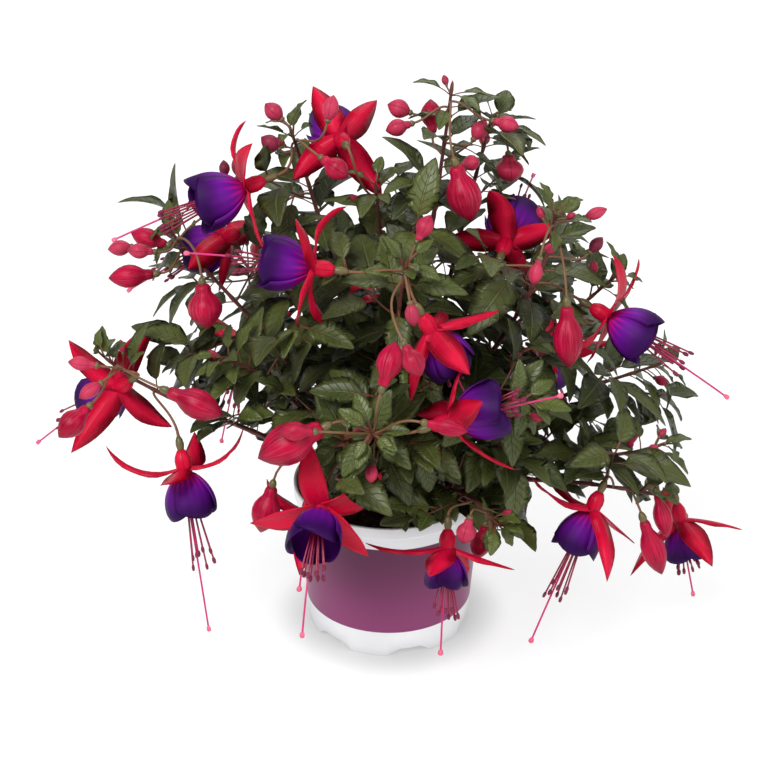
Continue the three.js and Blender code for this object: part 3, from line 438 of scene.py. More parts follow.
# Each bloom: its throat, the way its mouth faces, and the turn of each sepal round it, how far that sepal
# opens (degrees from the mouth's direction, at its tip) and its length. Then, where they aren't the usual
# ones, its size, the size of its bell, the length of its pistil and how far that sags.
blooms = [
    {"at": (-84, -12, 306), "facing": (-0.92, -0.28, -0.26),
     "sepals": ((25, 145, 46), (115, 105, 36), (205, 90, 44), (300, 130, 38)), "bell": 1.12, "pistil": 80},
    {"at": (-43, -77, 286), "facing": (-0.99, 0.01, 0.13),
     "sepals": ((30, 140, 48), (135, 145, 48), (220, 85, 42), (305, 65, 42)), "bell": 1.05, "pistil": 71},
    {"at": (-29, 19, 324), "facing": (-0.23, 0.97, -0.12),
     "sepals": ((0, 40, 36), (85, 145, 42), (172, 116, 36), (275, 30, 36)), "bell": 0.95},
    {"at": (-99, 26, 255), "facing": (-0.79, 0.28, -0.54),
     "sepals": ((85, 110, 42), (180, 30, 36), (255, 85, 44), (355, 105, 38)), "size": 0.95},
    {"at": (-161, -42, 189), "facing": (-0.62, 0.45, -0.64),
     "sepals": ((50, 155, 42), (155, 120, 38), (240, 50, 48), (330, 115, 42)), "bell": 0.95, "pistil": 92},
    {"at": (-120, -88, 159), "facing": (0.17, -0.4, -0.9),
     "sepals": ((10, 155, 50), (100, 155, 40), (185, 155, 44), (285, 95, 38)), "bell": 0.97, "pistil": 90},
    {"at": (-39, -128, 156), "facing": (-0.15, -0.94, -0.31),
     "sepals": ((30, 100, 44), (145, 75, 38), (215, 155, 42), (290, 155, 44)), "pistil": 54, "sag": 80},
    {"at": (34, -112, 119), "facing": (-0.03, -0.43, -0.9),
     "sepals": ((10, 105, 48), (110, 30, 38), (190, 75, 40), (285, 65, 36)), "bell": 0.76, "pistil": 58},
    {"at": (122, -68, 119), "facing": (-0.4, -0.32, -0.86),
     "sepals": ((50, 120, 44), (145, 70, 42), (230, 26, 50), (330, 120, 48)), "bell": 0.95, "pistil": 84},
    {"at": (182, -24, 83), "facing": (0.22, -0.29, -0.93),
     "sepals": ((85, 145, 38), (165, 55, 42), (250, 38, 42), (345, 38, 46)), "bell": 0.82, "pistil": 46},
    {"at": (131, -20, 225), "facing": (0.85, -0.34, -0.4),
     "sepals": ((50, 95, 40), (150, 110, 46), (230, 140, 46), (330, 155, 44)), "bell": 1.05, "pistil": 82},
    {"at": (70, 6, 262), "facing": (0.23, 0.96, 0.15),
     "sepals": ((60, 62, 34), (155, 120, 40), (245, 130, 44), (332, 40, 35)), "bell": 1.05},
    {"at": (24, -94, 254), "facing": (0.45, 0.01, -0.89),
     "sepals": ((105, 75, 38), (175, 70, 40), (265, 60, 42), (340, 28, 42)), "bell": 0.95, "pistil": 50},
    {"at": (35, -124, 213), "facing": (0.96, 0.1, 0.27),
     "sepals": ((5, 30, 46), (100, 155, 44), (185, 40, 36), (265, 45, 42)), "bell": 1.08, "pistil": 62},
    {"at": (-96, 120, 132), "facing": (-0.2, 0.2, -0.95),
     "sepals": ((30, 108, 43), (120, 125, 45), (210, 80, 41), (300, 98, 44))},
    {"at": (-8, 142, 150), "facing": (-0.1, 0.25, -0.95),
     "sepals": ((50, 120, 44), (140, 96, 42), (230, 130, 45), (320, 70, 42)), "bell": 1.05},
    {"at": (104, 122, 126), "facing": (0.2, 0.25, -0.94),
     "sepals": ((15, 100, 42), (105, 125, 45), (195, 108, 44), (285, 75, 42)), "bell": 0.9},
    {"at": (-46, -92, 132), "facing": (-0.12, -0.22, -0.97),
     "sepals": ((15, 155, 36), (95, 155, 38), (190, 35, 38), (275, 28, 48)),
     "size": 0.92, "bell": 0.9, "pistil": 50},
]

# Each large bud: where it begins, the way it points, its length, and how full it is.
largeBuds = [
    ((37, -20, 329), (0.27, -0.18, -0.95), 40, 1.03),
    ((-108, -57, 270), (0.09, -0.24, -0.97), 31, 1.3),
    ((-131, -98, 220), (0.91, -0.26, -0.31), 40, 0.87),
    ((-172, -84, 202), (-0.67, -0.53, -0.52), 28, 1.09),
    ((-32, -132, 216), (-0.9, -0.28, -0.33), 46, 1.05),
    ((-67, -102, 161), (-0.24, -0.19, -0.95), 34, 1.01),
    ((-5, -146, 243), (0.29, 0.46, 0.84), 30, 1),
    ((7, -150, 278), (0.46, -0.51, -0.73), 22, 1.16),
    ((102, -62, 260), (0.06, -0.22, -0.97), 43, 0.85),
    ((152, -64, 115), (0.33, -0.19, -0.92), 43, 0.73),
    ((161, -56, 128), (0.25, -0.19, -0.95), 34, 0.7),
    ((57, -102, 133), (-0.2, -0.17, -0.97), 25, 1.05),
    ((47, -118, 147), (-0.23, -0.29, -0.93), 18, 1.35),
    ((-136, -14, 251), (-0.99, -0.13, -0.04), 31, 0.93),
    ((-130, 2, 261), (-0.95, 0.16, 0.28), 26, 0.95),
    ((72, 44, 305), (0.07, -0.2, -0.98), 20, 1.87),
    ((14, 30, 335), (-0.94, 0.16, 0.3), 16, 1.48),
    ((15, 16, 335), (-0.95, -0.23, -0.19), 18, 1.17),
    ((-41, -14, 327), (0.79, -0.44, -0.43), 22, 1.24),
    ((-62, 14, 337), (-0.73, 0.33, 0.6), 15, 1.43),
    ((-64, 10, 320), (-0.81, 0.07, 0.58), 14, 1.45),
    ((-36, -4, 343), (0.23, 0.47, 0.85), 17, 1.19),
    ((-137, -16, 266), (-0.97, -0.17, 0.15), 18, 1.08),
    ((-152, -2, 263), (-0.99, -0.06, -0.1), 16, 1.2),
    ((59, 10, 339), (0.96, -0.26, -0.13), 18, 1.14),
    ((49, 14, 324), (0.53, 0.61, 0.58), 16, 1.25),
    ((26, 30, 319), (-0.05, 0.56, 0.83), 24, 1.09),
    ((15, -64, 294), (0.45, 0.43, 0.78), 19, 1.12),
    ((86, -64, 287), (-0.23, -0.21, -0.95), 18, 0.93),
    ((114, -8, 284), (0.93, 0.18, 0.32), 16, 0.95),
    ((118, -14, 264), (0.66, 0.36, 0.66), 13, 1.2),
    ((11, -128, 291), (0.18, -0.23, -0.96), 15, 1.11),
    ((17, -146, 225), (0.98, -0.16, -0.14), 27, 0.76),
    ((-165, -96, 233), (-0.97, -0.14, 0.22), 18, 0.95),
    ((-163, -100, 225), (-0.75, -0.58, -0.32), 17, 0.98),
    ((148, -24, 134), (0.07, 0.48, 0.87), 18, 1.11),
    ((-97, 10, 302), (-0.11, 0.48, 0.87), 11, 1.2),
    ((-90, 20, 297), (-0.12, 0.48, 0.87), 14, 0.98),
    ((-39, -150, 221), (-1, 0.01, 0.02), 22, 1.01),
    ((-88, 132, 206), (0.2, 0.5, -0.8), 30, 1),
    ((48, 148, 190), (0.3, 0.3, -0.9), 32, 1),
    ((96, 128, 190), (-0.2, 0.4, -0.9), 28, 1),
]

pot = {
    "height": 100, "rimRadius": 60, "rimHeight": 8, "rimStep": 1.2, "baseRadius": 51, "wall": 1.8,
    "floorLift": 6, "floor": 2, "sides": 192, "feet": 6, "footShare": 0.42, "footTurn": -105,
    "notchHeight": 5, "notchSlant": 9, "drainRadius": 4, "drainCircle": 34, "drainSides": 32,
    "bandLow": 0.019, "bandHigh": 0.084, "bandEdge": 0.0003,
}
soil = {"level": 88, "lump": 1.3}


# Room: points about 4 mm apart stand for each surface, and keep others away. Leaves also leave the view
# of each bloom open, from a little way down its bell towards the viewer.
room = {
    "blade": 2.5, "petal": 3, "stem": 2.4, "thread": 1.6, "heart": 8, "ahead": 90, "around": 20, "most": 4000,
}
taken = {"points": [], "gap": [], "owner": []}
taken["centre"], taken["span"] = np.zeros((room["most"], 3)), np.zeros(room["most"])


def claim(points, gap, owner):
    points = np.array(points)
    centre = points.mean(axis=0)
    span = math.sqrt(((points - centre) ** 2).sum(axis=1).max()) + gap
    return {"points": points, "gap": gap, "owner": owner, "centre": centre, "span": span}


def take(thing):
    number = len(taken["points"])
    for label in ("points", "gap", "owner"):
        taken[label].append(thing[label])
    taken["centre"][number] = thing["centre"]
    taken["span"][number] = thing["span"]


def isClear(thing, passing=None, closeness=1.0):
    count = len(taken["points"])
    apart = np.sqrt(((taken["centre"][:count] - thing["centre"]) ** 2).sum(axis=1))
    for i in np.nonzero(apart <= taken["span"][:count] + thing["span"])[0]:
        if taken["owner"][i] in (thing["owner"], passing):
            continue
        least = (taken["gap"][i] + thing["gap"]) * closeness
        gaps = ((taken["points"][i][:, None] - thing["points"][None]) ** 2).sum(axis=2)
        if gaps.min() <= least * least:
            return False
    return True


# Stems
stem = {
    "rootRadius": 2.1, "tipRadius": 0.9, "sides": 8, "steps": 8, "samples": 64, "straight": 4,
    "riseShare": 0.12, "easeShare": 0.3, "node": 0.35, "nodeReach": 2.2, "sunk": 6,
}


def stemFrames(shoot):
    root = vec(*shoot["root"], soil["level"] + stem["straight"])
    tip = vec(*shoot["tip"])
    rising = root + (tip - root) * stem["riseShare"]
    rising[2] = soil["level"] + shoot["rise"]
    easing = tip - unit(vec(*shoot["heading"])) * stem["easeShare"] * away(tip, root)
    corners = bezier(root, rising, easing, tip, stem["steps"])
    perStep = stem["samples"] // stem["steps"]
    places = []
    for i in range(stem["samples"]):
        start, end = corners[i // perStep], corners[i // perStep + 1]
        places.append(lerp(start, end, (i % perStep) / perStep))
    places.append(tip)
    across = vec(1, 0, 0)
    frames = []
    for i, at in enumerate(places):
        way = unit(places[min(i + 1, stem["samples"])] - places[max(i - 1, 0)])
        across = unit(across - way * (across @ way))
        frames.append({"at": at, "way": way, "across": across, "toTip": 0.0})
    for i in range(stem["samples"] - 1, -1, -1):
        frames[i]["toTip"] = frames[i + 1]["toTip"] + away(places[i], places[i + 1])
    return frames


# Stalks and buds. A stalk starts at the stem, near a place behind and above its end.
stalk = {
    "radius": 0.75, "sides": 7, "behind": 14, "above": 6, "firstFrame": 19, "lastFrame": 62,
    "leaving": 0.3, "rising": 0.15, "arriving": 0.4, "bloomSteps": 14, "budSteps": 12, "flare": 0.35,
}
bud = {
    "length": 26, "halfWidth": 6.6, "from": 0.14, "body": 0.86, "ovaryRadius": 1.7, "ovary": 0.17,
    "ripening": 0.073, "ripeAt": 0.34, "ripeLength": 16, "young": 0.45,
}
tipBud = {"least": 7, "most": 10, "longer": 2.2, "halfShare": 0.27, "reach": 6, "further": 3, "turn": 2.4}
stalks = []  # each: points, radii, and how ripe its colour is
buds = []  # each: place, way, half width, length and ripeness
ovaries = []  # each: place, way, half width and length


def nearestFrame(end, facing):
    wanted = end - facing * stalk["behind"] + up * stalk["above"]
    best = None
    for shoot in shoots:
        for one in shoot["frames"][stalk["firstFrame"] : stalk["lastFrame"]]:
            gap = away(one["at"], wanted)
            if best is None or gap < best[0]:
                best = (gap, one)
    return best[1]


def stalkTo(end, facing):
    one = nearestFrame(end, facing)
    length = away(one["at"], end)
    out = end - one["at"]
    out = unit(out - one["way"] * (out @ one["way"]))
    leaving = one["at"] + out * stalk["leaving"] * length + one["way"] * stalk["rising"] * length
    arriving = end - facing * stalk["arriving"] * length
    curve = (one["at"], leaving, arriving, end)
    take(claim(bezier(*curve, stalk["budSteps"])[2:], room["thread"], f"stalk to {end[0]}"))
    return curve


def growBloomStalk(one):
    end = bloomPoint(one, -bloom["tube"] - bloom["ovary"], 0, 0) - one["mouth"] * bloom["seat"]
    steps = stalk["bloomSteps"]
    points = bezier(*stalkTo(end, one["mouth"]), steps)
    radii = [stalk["radius"] * (1 + stalk["flare"] * (i / steps) ** 6) for i in range(steps + 1)]
    stalks.append((points, radii, 1.0))
    half, length = one["size"] * bloom["ovaryRadius"] * 1.1, one["size"] * (bloom["ovary"] + 1)
    ovaries.append((end, one["mouth"], half, length))


def growLargeBud(at, facing, length, plump):
    root, way = vec(*at), unit(vec(*facing))
    half = bud["halfWidth"] * (length / bud["length"]) * plump
    points = bezier(*stalkTo(root, way), stalk["budSteps"])
    stalks.append((points, [stalk["radius"]] * len(points), 0.8))
    ovaries.append((root, way, bud["ovaryRadius"] + 0.02 * length, length * bud["ovary"]))
    ripe = min(1.0, max(0.1, bud["ripeAt"] + bud["ripening"] * (length - bud["ripeLength"])))
    buds.append((root + way * length * bud["from"], way, half, length * bud["body"], ripe))
    take(claim(pointsBetween(root, root + way * length, 4), half + 1, f"bud at {root[0]}"))


def growTipBuds(shoot, number):
    for i in range(shoot["buds"]):
        draw = draws(number * 100 + i + 51)
        one = shoot["frames"][stem["samples"] - 2 - 3 * i]
        at, way = one["at"], one["way"]
        out = around(way, one["across"], i * tipBud["turn"] + number)
        facing = unit(out + way * (0.9 - 0.1 * i))
        length = draw(tipBud["least"], tipBud["most"]) + tipBud["longer"] * i
        reach = tipBud["reach"] + tipBud["further"] * i
        root = at + out * reach + way * reach / 2
        half = length * tipBud["halfShare"]
        points = pointsBetween(lerp(at, root, 0.5), root + facing * length, 3)
        thing = claim(points, half + 0.8, f"tip bud {number} {i}")
        if isClear(thing, shoot["name"]):
            take(thing)
            stalks.append(([at, lerp(at, root, 0.5) + up * 0.6, root], [0.55, 0.5, 0.55], 0.4))
            ovaries.append((root, facing, half * 0.42, length * 0.26))
            buds.append((root + facing * length * 0.16, facing, half, length * 0.84, 0.25 + 0.05 * i))


# Blooms
viewer = vec(0, -0.87, 0.49)  # towards the view from the front and above
bloom = {
    "tube": 12, "tubeRadius": 5, "tubeRipe": 1.6, "ovary": 8, "ovaryRadius": 2.3, "seat": 0.3,
    "sepalHalf": 8.4, "sepalWidest": 0.4, "sepalBase": 0.55, "sepalThick": 0.6, "sepalFold": 0.22,
    "sepalWave": 0.45, "sepalRoot": 2.6, "sepalRise": 72,
    "corolla": 29, "corollaRadius": 14.5, "bellWidest": 0.7, "bellClosing": 0.18, "bellLeast": 1.2,
    "petals": 4, "petalSpan": 66, "petalLap": 1.8, "petalThick": 0.4, "petalArch": 0.24,
    "bundle": 8, "bundleRadius": 1.05, "stamens": 8, "stamenShare": 0.6, "filament": 0.55,
    "pistil": 84, "style": 0.6, "sag": 4,
}


def bloomFrame(given):
    mouth = unit(vec(*given["facing"]))
    across = unit(np.cross(mouth, viewer))
    return {
        "throat": vec(*given["at"]), "mouth": mouth, "across": across, "sepals": given["sepals"],
        "turn": given["sepals"][0][0], "size": given.get("size", 1), "bell": given.get("bell", 1),
        "pistil": given.get("pistil", bloom["pistil"]), "sag": given.get("sag", bloom["sag"]),
    }


def bloomPoint(one, along, radius, degrees):
    out = around(one["mouth"], one["across"], math.radians(degrees))
    return one["throat"] + (one["mouth"] * along + out * radius) * one["size"]


def sepalLine(one, sepal):
    turn, opened, reach = sepal
    out = around(one["mouth"], one["across"], math.radians(turn))
    rise = math.radians(bloom["sepalRise"])
    return {
        "root": bloomPoint(one, -bloom["sepalRoot"], 0, 0),
        "along": out * math.sin(rise) + one["mouth"] * math.cos(rise),
        "face": one["mouth"] * math.sin(rise) - out * math.cos(rise),
        "length": (reach + bloom["sepalRoot"]) * one["size"],
        "bend": math.radians(opened) - rise,
    }


def sepalWidth(share):  # over its widest: it widens from the tube and then tapers to its tip
    base, widest = bloom["sepalBase"], bloom["sepalWidest"]
    if share < widest:
        return base + (1 - base) * math.sin(math.pi / 2 * share / widest)
    return 1 - ((share - widest) / (1 - widest)) ** 1.9


def bellRadius(one, share):
    widest = bloom["bellWidest"]
    widening = math.sin(math.pi / 2 * min(1, share / widest) ** 0.8)
    closing = max(0, share - widest) / (1 - widest)
    share = 0.17 + 0.86 * widening - bloom["bellClosing"] * closing**2
    return one["bell"] * bloom["corollaRadius"] * share


def threadPaths(one, count, shares):  # the stamens and then the pistil
    draw = draws(math.floor(one["throat"][0] * 7 + one["throat"][2] * 13 + 9000 + 0.5))
    hold = bloom["bundleRadius"]
    paths = []
    for i in range(count + 1):
        isPistil = i == count
        length = one["pistil"] * (1 if isPistil else bloom["stamenShare"] * draw(0.86, 1.12))
        degrees = one["turn"] + 20 + i * 360 / (count + 1)
        spread = 2 if isPistil else draw(5, 8)
        sag = one["sag"] * (length / bloom["pistil"]) ** 2
        start = bloom["bundle"] - 1.5
        path = []
        for share in shares:
            radius = hold + (spread - hold) * share
            along = start + share * (length - start)
            path.append(bloomPoint(one, along, radius, degrees) - up * sag * share * share)
        paths.append(path)
    return paths


def onArc(line, share):
    turned, reach = line["bend"] * share, line["length"] / line["bend"]
    ahead, back = line["along"] * reach * math.sin(turned), line["face"] * reach * (1 - math.cos(turned))
    return line["root"] + ahead - back


def bladePoints(line, half, start, rows, columns):
    side = np.cross(line["along"], line["face"])
    points = []
    for i in range(rows):
        share = start + (0.97 - start) * i / (rows - 1)
        at = onArc(line, share)
        points += [at + side * (2 * j / (columns - 1) - 1) * half(share) for j in range(columns)]
    return points


def claimBloom(one, owner):
    def half(share):
        return one["size"] * bloom["sepalHalf"] * sepalWidth(share)

    for sepal in one["sepals"]:
        take(claim(bladePoints(sepalLine(one, sepal), half, 0.16, 10, 3), room["petal"], owner))
    bell = []
    share = 0.1
    while share <= 1:
        along, radius = share * bloom["corolla"] * one["bell"], bellRadius(one, share)
        bell += [bloomPoint(one, along, radius, degrees) for degrees in range(0, 360, 24)]
        share += 0.15
    take(claim(bell, room["petal"], owner))
    axis = pointsBetween(bloomPoint(one, -bloom["tube"] - bloom["ovary"], 0, 0), one["throat"], 4)
    take(claim(axis, bloom["tubeRadius"], owner))
    for path in threadPaths(one, bloom["stamens"], (0, 0.4, 0.93, 1)):
        points = [p for a, b in zip(path[1:-1], path[2:]) for p in pointsBetween(a, b, 3)]
        points = pointsBetween(path[0], path[1], 3) + points
        take(claim(points, room["thread"], owner))


# Leaves
leaf = {
    "length": 43, "halfWidth": 11.2, "petiole": 8, "petioleHalf": 0.7,
    "thick": 0.55, "fold": 0.3, "wave": 0.6,
    "large": 29, "firstAt": 12, "spacingLow": 25, "spacingHigh": 15, "growth": 62, "attempts": 9,
    "youngest": 0.34, "spread": 1.1, "youngSpread": 0.35, "swing": 0.3, "shrink": 0.04,
}
leaves = []


def leafHalf(share, length):
    blade = (share * (length + leaf["petiole"]) - leaf["petiole"]) / length
    if blade <= 0:
        return leaf["petioleHalf"]
    widest = leaf["halfWidth"] * (length / leaf["length"])
    return leaf["petioleHalf"] + widest * math.sin(math.pi * min(1, blade) ** 0.82) ** 0.9


def isTooLow(p):  # near the pot or the soil, or below the hem
    r = math.sqrt(p[0] * p[0] + p[1] * p[1])
    if p[2] < [level for start, level in hem if p[0] >= start][-1] - hemSlope * p[1]:
        return True
    clearing = soil["level"] + 7 if r < pot["rimRadius"] - 5 else pot["height"] + 4
    return r < pot["rimRadius"] + 4 and p[2] < clearing


def hidesBloom(points):  # whether any is in front of the heart of a bloom, which hangs in the open
    for one in bloomFrames:
        apart = np.array(points) - bloomPoint(one, room["heart"], 0, 0)
        ahead = apart @ viewer
        offAxis = np.sqrt(((apart - ahead[:, None] * viewer) ** 2).sum(axis=1))
        if ((ahead > 0) & (ahead < room["ahead"]) & (offAxis < room["around"])).any():
            return True
    return False


def leafLine(one, length, turn, slope, droop, bend):
    out = around(one["way"], one["across"], turn)
    along = unit(out * math.sin(slope) + one["way"] * math.cos(slope) - up * droop)
    face = vec(one["at"][0] * 0.006, one["at"][1] * 0.006, 1)
    face = unit(face - along * (face @ along))
    return {"root": one["at"], "along": along, "face": face, "length": length + leaf["petiole"], "bend": bend}


def growLeaf(one, owner, seed, turn, length, slope, young, closeness=1.0):
    draw = draws(seed)
    firstTurn = turn + draw(-0.3, 0.3)
    firstSlope = slope + draw(-0.15, 0.15)
    firstLength = length * draw(0.85, 1.08)
    for attempt in range(leaf["attempts"]):
        swing = math.ceil(attempt / 2) * (leaf["swing"] if attempt % 2 else -leaf["swing"])
        smaller = firstLength * (1 - leaf["shrink"] * attempt)
        droop, bend = draw(0.02, 0.4), draw(0.35, 1.15)
        line = leafLine(one, smaller, firstTurn + swing, firstSlope - 0.04 * attempt, droop, bend)
        start = (leaf["petiole"] + 0.12 * smaller) / (leaf["petiole"] + smaller)
        rows, columns = max(4, math.ceil(smaller / 4)), 5 if smaller > 30 else 3
        points = bladePoints(line, lambda share: leafHalf(share, smaller), start, rows, columns)
        thing = claim(points, room["blade"], owner)
        isBadlyPlaced = any(isTooLow(p) for p in points) or hidesBloom(points)
        if isBadlyPlaced or not isClear(thing, None, closeness):
            continue
        take(thing)
        marks = {"broad": smaller / leaf["length"], "young": young, "tone": draw(0, 1), "phase": draw(0, 6)}
        leaves.append({**line, "length": smaller, **marks})
        return True
    return False


def growLeaves(shoot, number):
    toTip, pair = 4.0, 0
    while toTip < shoot["frames"][0]["toTip"] - leaf["firstAt"]:
        one = [f for f in shoot["frames"] if f["toTip"] >= toTip][-1]
        mature = min(1, toTip / leaf["growth"])
        length = leaf["length"] * (leaf["youngest"] + 0.66 * math.sqrt(mature))
        slope = leaf["spread"] - leaf["youngSpread"] * (1 - mature)
        for side in range(2):
            seed = number * 1000 + pair * 10 + side + 1
            turn = (pair % 2) * (math.pi / 2) + side * math.pi + number
            growLeaf(one, f"leaf {seed}", seed, turn, length, slope, 1 - mature)
        shoot["nodes"].append(toTip)
        toTip += leaf["spacingHigh"] + (leaf["spacingLow"] - leaf["spacingHigh"]) * mature
        pair += 1


# Short side twigs fill the bush between the main stems. Their leaves come closer to their neighbours.
twig = {
    "perShoot": 6, "shortest": 24, "longest": 52, "radius": 0.7, "closeness": 0.42,
    "leaf": 41, "tipLeaf": 0.72, "steps": 10, "nodes": (10, 7, 4), "ripe": 0.2,
}
tuft = {"leaves": 7, "shortest": 12, "longest": 23, "closeness": 0.15, "ceiling": 364}
offWay = vec(0.31, 0.52, 0.79)  # along no stem: its cross product with a way is a direction across it


def growTufts(shoot, number):  # young leaves crowd round the tip of each stem
    for i in range(tuft["leaves"]):
        draw = draws(number * 500 + i * 13 + 70001)
        one = shoot["frames"][stem["samples"] - 2 * (i // 2)]
        length = lerp(tuft["shortest"], tuft["longest"], i / tuft["leaves"]) * draw(0.9, 1.1)
        if one["at"][2] + length * 0.8 < tuft["ceiling"]:
            seed, turn, slope = 90000 + number * 100 + i, i * 2.2 + number, 0.55 + 0.1 * i
            growLeaf(one, f"tuft leaf {number} {i}", seed, turn, length, slope, 1.0, tuft["closeness"])


def growTwigs(shoot, number):
    frames = shoot["frames"]
    for i in range(twig["perShoot"]):
        draw = draws(number * 300 + i * 17 + 40007)
        one = frames[int(8 + 46 * (i + draw(0, 0.8)) / twig["perShoot"])]
        out = around(one["way"], one["across"], i * 2.1 + number + draw(-0.5, 0.5))
        length = draw(twig["shortest"], twig["longest"])
        way = unit(out * 0.9 + one["way"] * 0.4 + up * draw(-0.1, 0.5))
        tip = one["at"] + way * length + up * draw(0, 8)
        leaving = one["at"] + (one["way"] * 0.5 + out) * length * 0.3
        points = bezier(one["at"], leaving, lerp(one["at"], tip, 0.7), tip, twig["steps"])
        if isTooLow(points[-1]) or isTooLow(points[6]):
            continue
        found = 0
        for pair, k in enumerate(twig["nodes"]):  # three leaves at the tip, then pairs
            atTip = pair == 0
            along = unit(points[k] - points[k - 1])
            node = {"at": points[k], "way": along, "across": unit(np.cross(along, offWay))}
            for side in range(3 if atTip else 2):
                seed = 50000 + number * 1000 + i * 100 + pair * 10 + side
                size = twig["leaf"] * draw(0.75, 1.2) * (twig["tipLeaf"] if atTip else 1)
                turn = pair * math.pi / 2 + side * (2.1 if atTip else math.pi) + i
                young = 0.5 if atTip else 0.15
                found += growLeaf(node, f"twig leaf {seed}", seed, turn, size, 0.8, young, twig["closeness"])
        if found:
            steps = twig["steps"]
            radii = [twig["radius"] * (1 - 0.3 * k / steps) for k in range(steps + 1)]
            stalks.append((points, radii, twig["ripe"]))


# All of it grows here, in the order that keeps things apart: stems, blooms, stalks, buds, leaves.
for shoot in shoots:
    shoot["frames"] = stemFrames(shoot)
    shoot["nodes"] = []
    take(claim([f["at"] for f in shoot["frames"]], room["stem"], shoot["name"]))
bloomFrames = [bloomFrame(given) for given in blooms]
for i, one in enumerate(bloomFrames):
    claimBloom(one, f"bloom {i}")
for one in bloomFrames:
    growBloomStalk(one)
for given in largeBuds:
    growLargeBud(*given)
for number, shoot in enumerate(shoots):
    growTipBuds(shoot, number)
for number, shoot in enumerate(shoots):
    growLeaves(shoot, number)
large = [one for one in leaves if one["length"] >= leaf["large"]]
print("leaves on the stems:", len(leaves), "of which", len(large), "large")
for number, shoot in enumerate(shoots):
    growTufts(shoot, number)
    growTwigs(shoot, number)
print("with twigs:", len(leaves), "leaves,", len(buds), "buds,", len(taken["points"]), "claims")


# The pot
def notchRise(angle):  # how far the foot is cut away at an angle, in degrees
    pitch = 360 / pot["feet"]
    offFoot = abs((angle - pot["footTurn"] + pitch / 2) % pitch - pitch / 2)
    across = math.radians(pitch / 2 - offFoot) * pot["baseRadius"]
    half = pot["baseRadius"] * math.sin((1 - pot["footShare"]) * math.pi / pot["feet"])
    share = min(1, max(0, (half - across) / pot["notchSlant"]))
    return pot["notchHeight"] * share * share * (3 - 2 * share)


def wallRadius(z):
    widening = pot["rimRadius"] - pot["rimStep"] - pot["baseRadius"]
    return pot["baseRadius"] + widening * z / (pot["height"] - pot["rimHeight"])


def rounded(corners, radius):  # softens each corner of an outline with an arc of a few points
    path = [corners[0]]
    for before, at, after in zip(corners, corners[1:], corners[2:]):
        at2, before2, after2 = vec(*at), vec(*before), vec(*after)
        trim = min(radius, 0.4 * away(at2, before2), 0.4 * away(at2, after2))
        start, end = at2 + unit(before2 - at2) * trim, at2 + unit(after2 - at2) * trim
        for t in (0, 0.33, 0.67, 1):
            path.append(tuple(start * (1 - t) ** 2 + at2 * 2 * t * (1 - t) + end * t * t))
    return path + [corners[-1]]


def lathe(name, profile, sides, lift=None):  # closed at both ends on the axis; lift raises the foot
    points, faces = [(0, 0, profile[0][1])], []
    rings = profile[1:-1]
    for r, z in rings:
        for j in range(sides):
            angle = 360 * j / sides
            raised = max(z, lift(angle) + z * 0.3) if lift and z < pot["floorLift"] - 0.5 else z
            points.append((r * math.cos(math.radians(angle)), r * math.sin(math.radians(angle)), raised))
    points.append((0, 0, profile[-1][1]))
    last = len(points) - 1
    for j in range(sides):
        k = (j + 1) % sides
        faces.append((0, 1 + k, 1 + j))
        for i in range(len(rings) - 1):
            a, b = 1 + i * sides, 1 + (i + 1) * sides
            faces.append((a + j, a + k, b + k, b + j))
        end = 1 + (len(rings) - 1) * sides
        faces.append((end + j, end + k, last))
    return newObject(name, [tuple(c * millimetre for c in p) for p in points], faces=faces)


def paintPot(plan):
    place = plan.add("ShaderNodeSeparateXYZ", None, {0: plan.place()})
    z = NodeValue(plan, place.socket.node.outputs["Z"])
    wobble = plan.noise(9.0, 1.0) * 0.0006
    height = z + wobble
    low, high, soft = pot["bandLow"], pot["bandHigh"], pot["bandEdge"]
    band = plan.ease(height, low - soft, low + soft) * plan.ease(height, high - soft, high + soft, 1.0, 0.0)
    printed = plan.mix(plan.ease(z, low, high), ink(136, 62, 108), ink(92, 44, 74))
    printed = plan.mix(plan.noise(60.0, 3.0) * 0.15, printed, ink(104, 42, 78))
    white = plan.mix(plan.ease(plan.noise(14.0, 3.0), 0.35, 0.7), ink(228, 229, 232), ink(236, 237, 239))
    # darker and greyer, in patches, over the lowest 6 mm of the wall
    darkerAtFoot = plan.ease(z, 0.0, 0.006, 0.35, 0.0) * plan.noise(90.0, 4.0)
    white = plan.mix(darkerAtFoot, white, ink(190, 186, 178))
    colour = plan.mix(band, white, printed)
    fine = plan.noise(420.0, 2.0) * 0.5 + plan.noise(35.0, 2.0)
    edge = band * 0.8
    return {
        "Base Color": colour,
        "Roughness": plan.noise(30.0, 2.0) * 0.12 + 0.24 + band * 0.06,
        "Coat Weight": band * -0.2 + 0.25,
        "Normal": plan.bump(fine * 0.25 + edge, 0.35, 0.0004),
    }


def drainPins():  # one through the floor behind each notch
    points, faces, sides = [], [], pot["drainSides"]
    low, high = pot["floorLift"] - 2, pot["floorLift"] + pot["floor"] + 2
    for i in range(pot["feet"]):
        turn = math.radians(pot["footTurn"] + (i + 0.5) * 360 / pot["feet"])
        middle = vec(math.cos(turn), math.sin(turn), 0) * pot["drainCircle"]
        first = len(points)
        for z in (low, high):
            for j in range(sides):
                step = 2 * math.pi * j / sides
                out = vec(math.cos(step), math.sin(step), 0) * pot["drainRadius"]
                points.append((middle + out + up * z) * millimetre)
        ring = [first + j for j in range(sides)]
        faces += [tuple(ring[::-1]), tuple(j + sides for j in ring)]
        faces += [(a, b, b + sides, a + sides) for a, b in zip(ring, ring[1:] + ring[:1])]
    return newObject("drainPins", points, faces=faces)


def cutBy(obj, tool):
    cut = obj.modifiers.new("cut", "BOOLEAN")
    cut.operation, cut.solver, cut.object = "DIFFERENCE", "EXACT", tool
    deps = bpy.context.evaluated_depsgraph_get()
    mesh = bpy.data.meshes.new_from_object(obj.evaluated_get(deps), depsgraph=deps)
    obj.modifiers.remove(cut)
    obj.data = mesh
    dropHelper(tool)


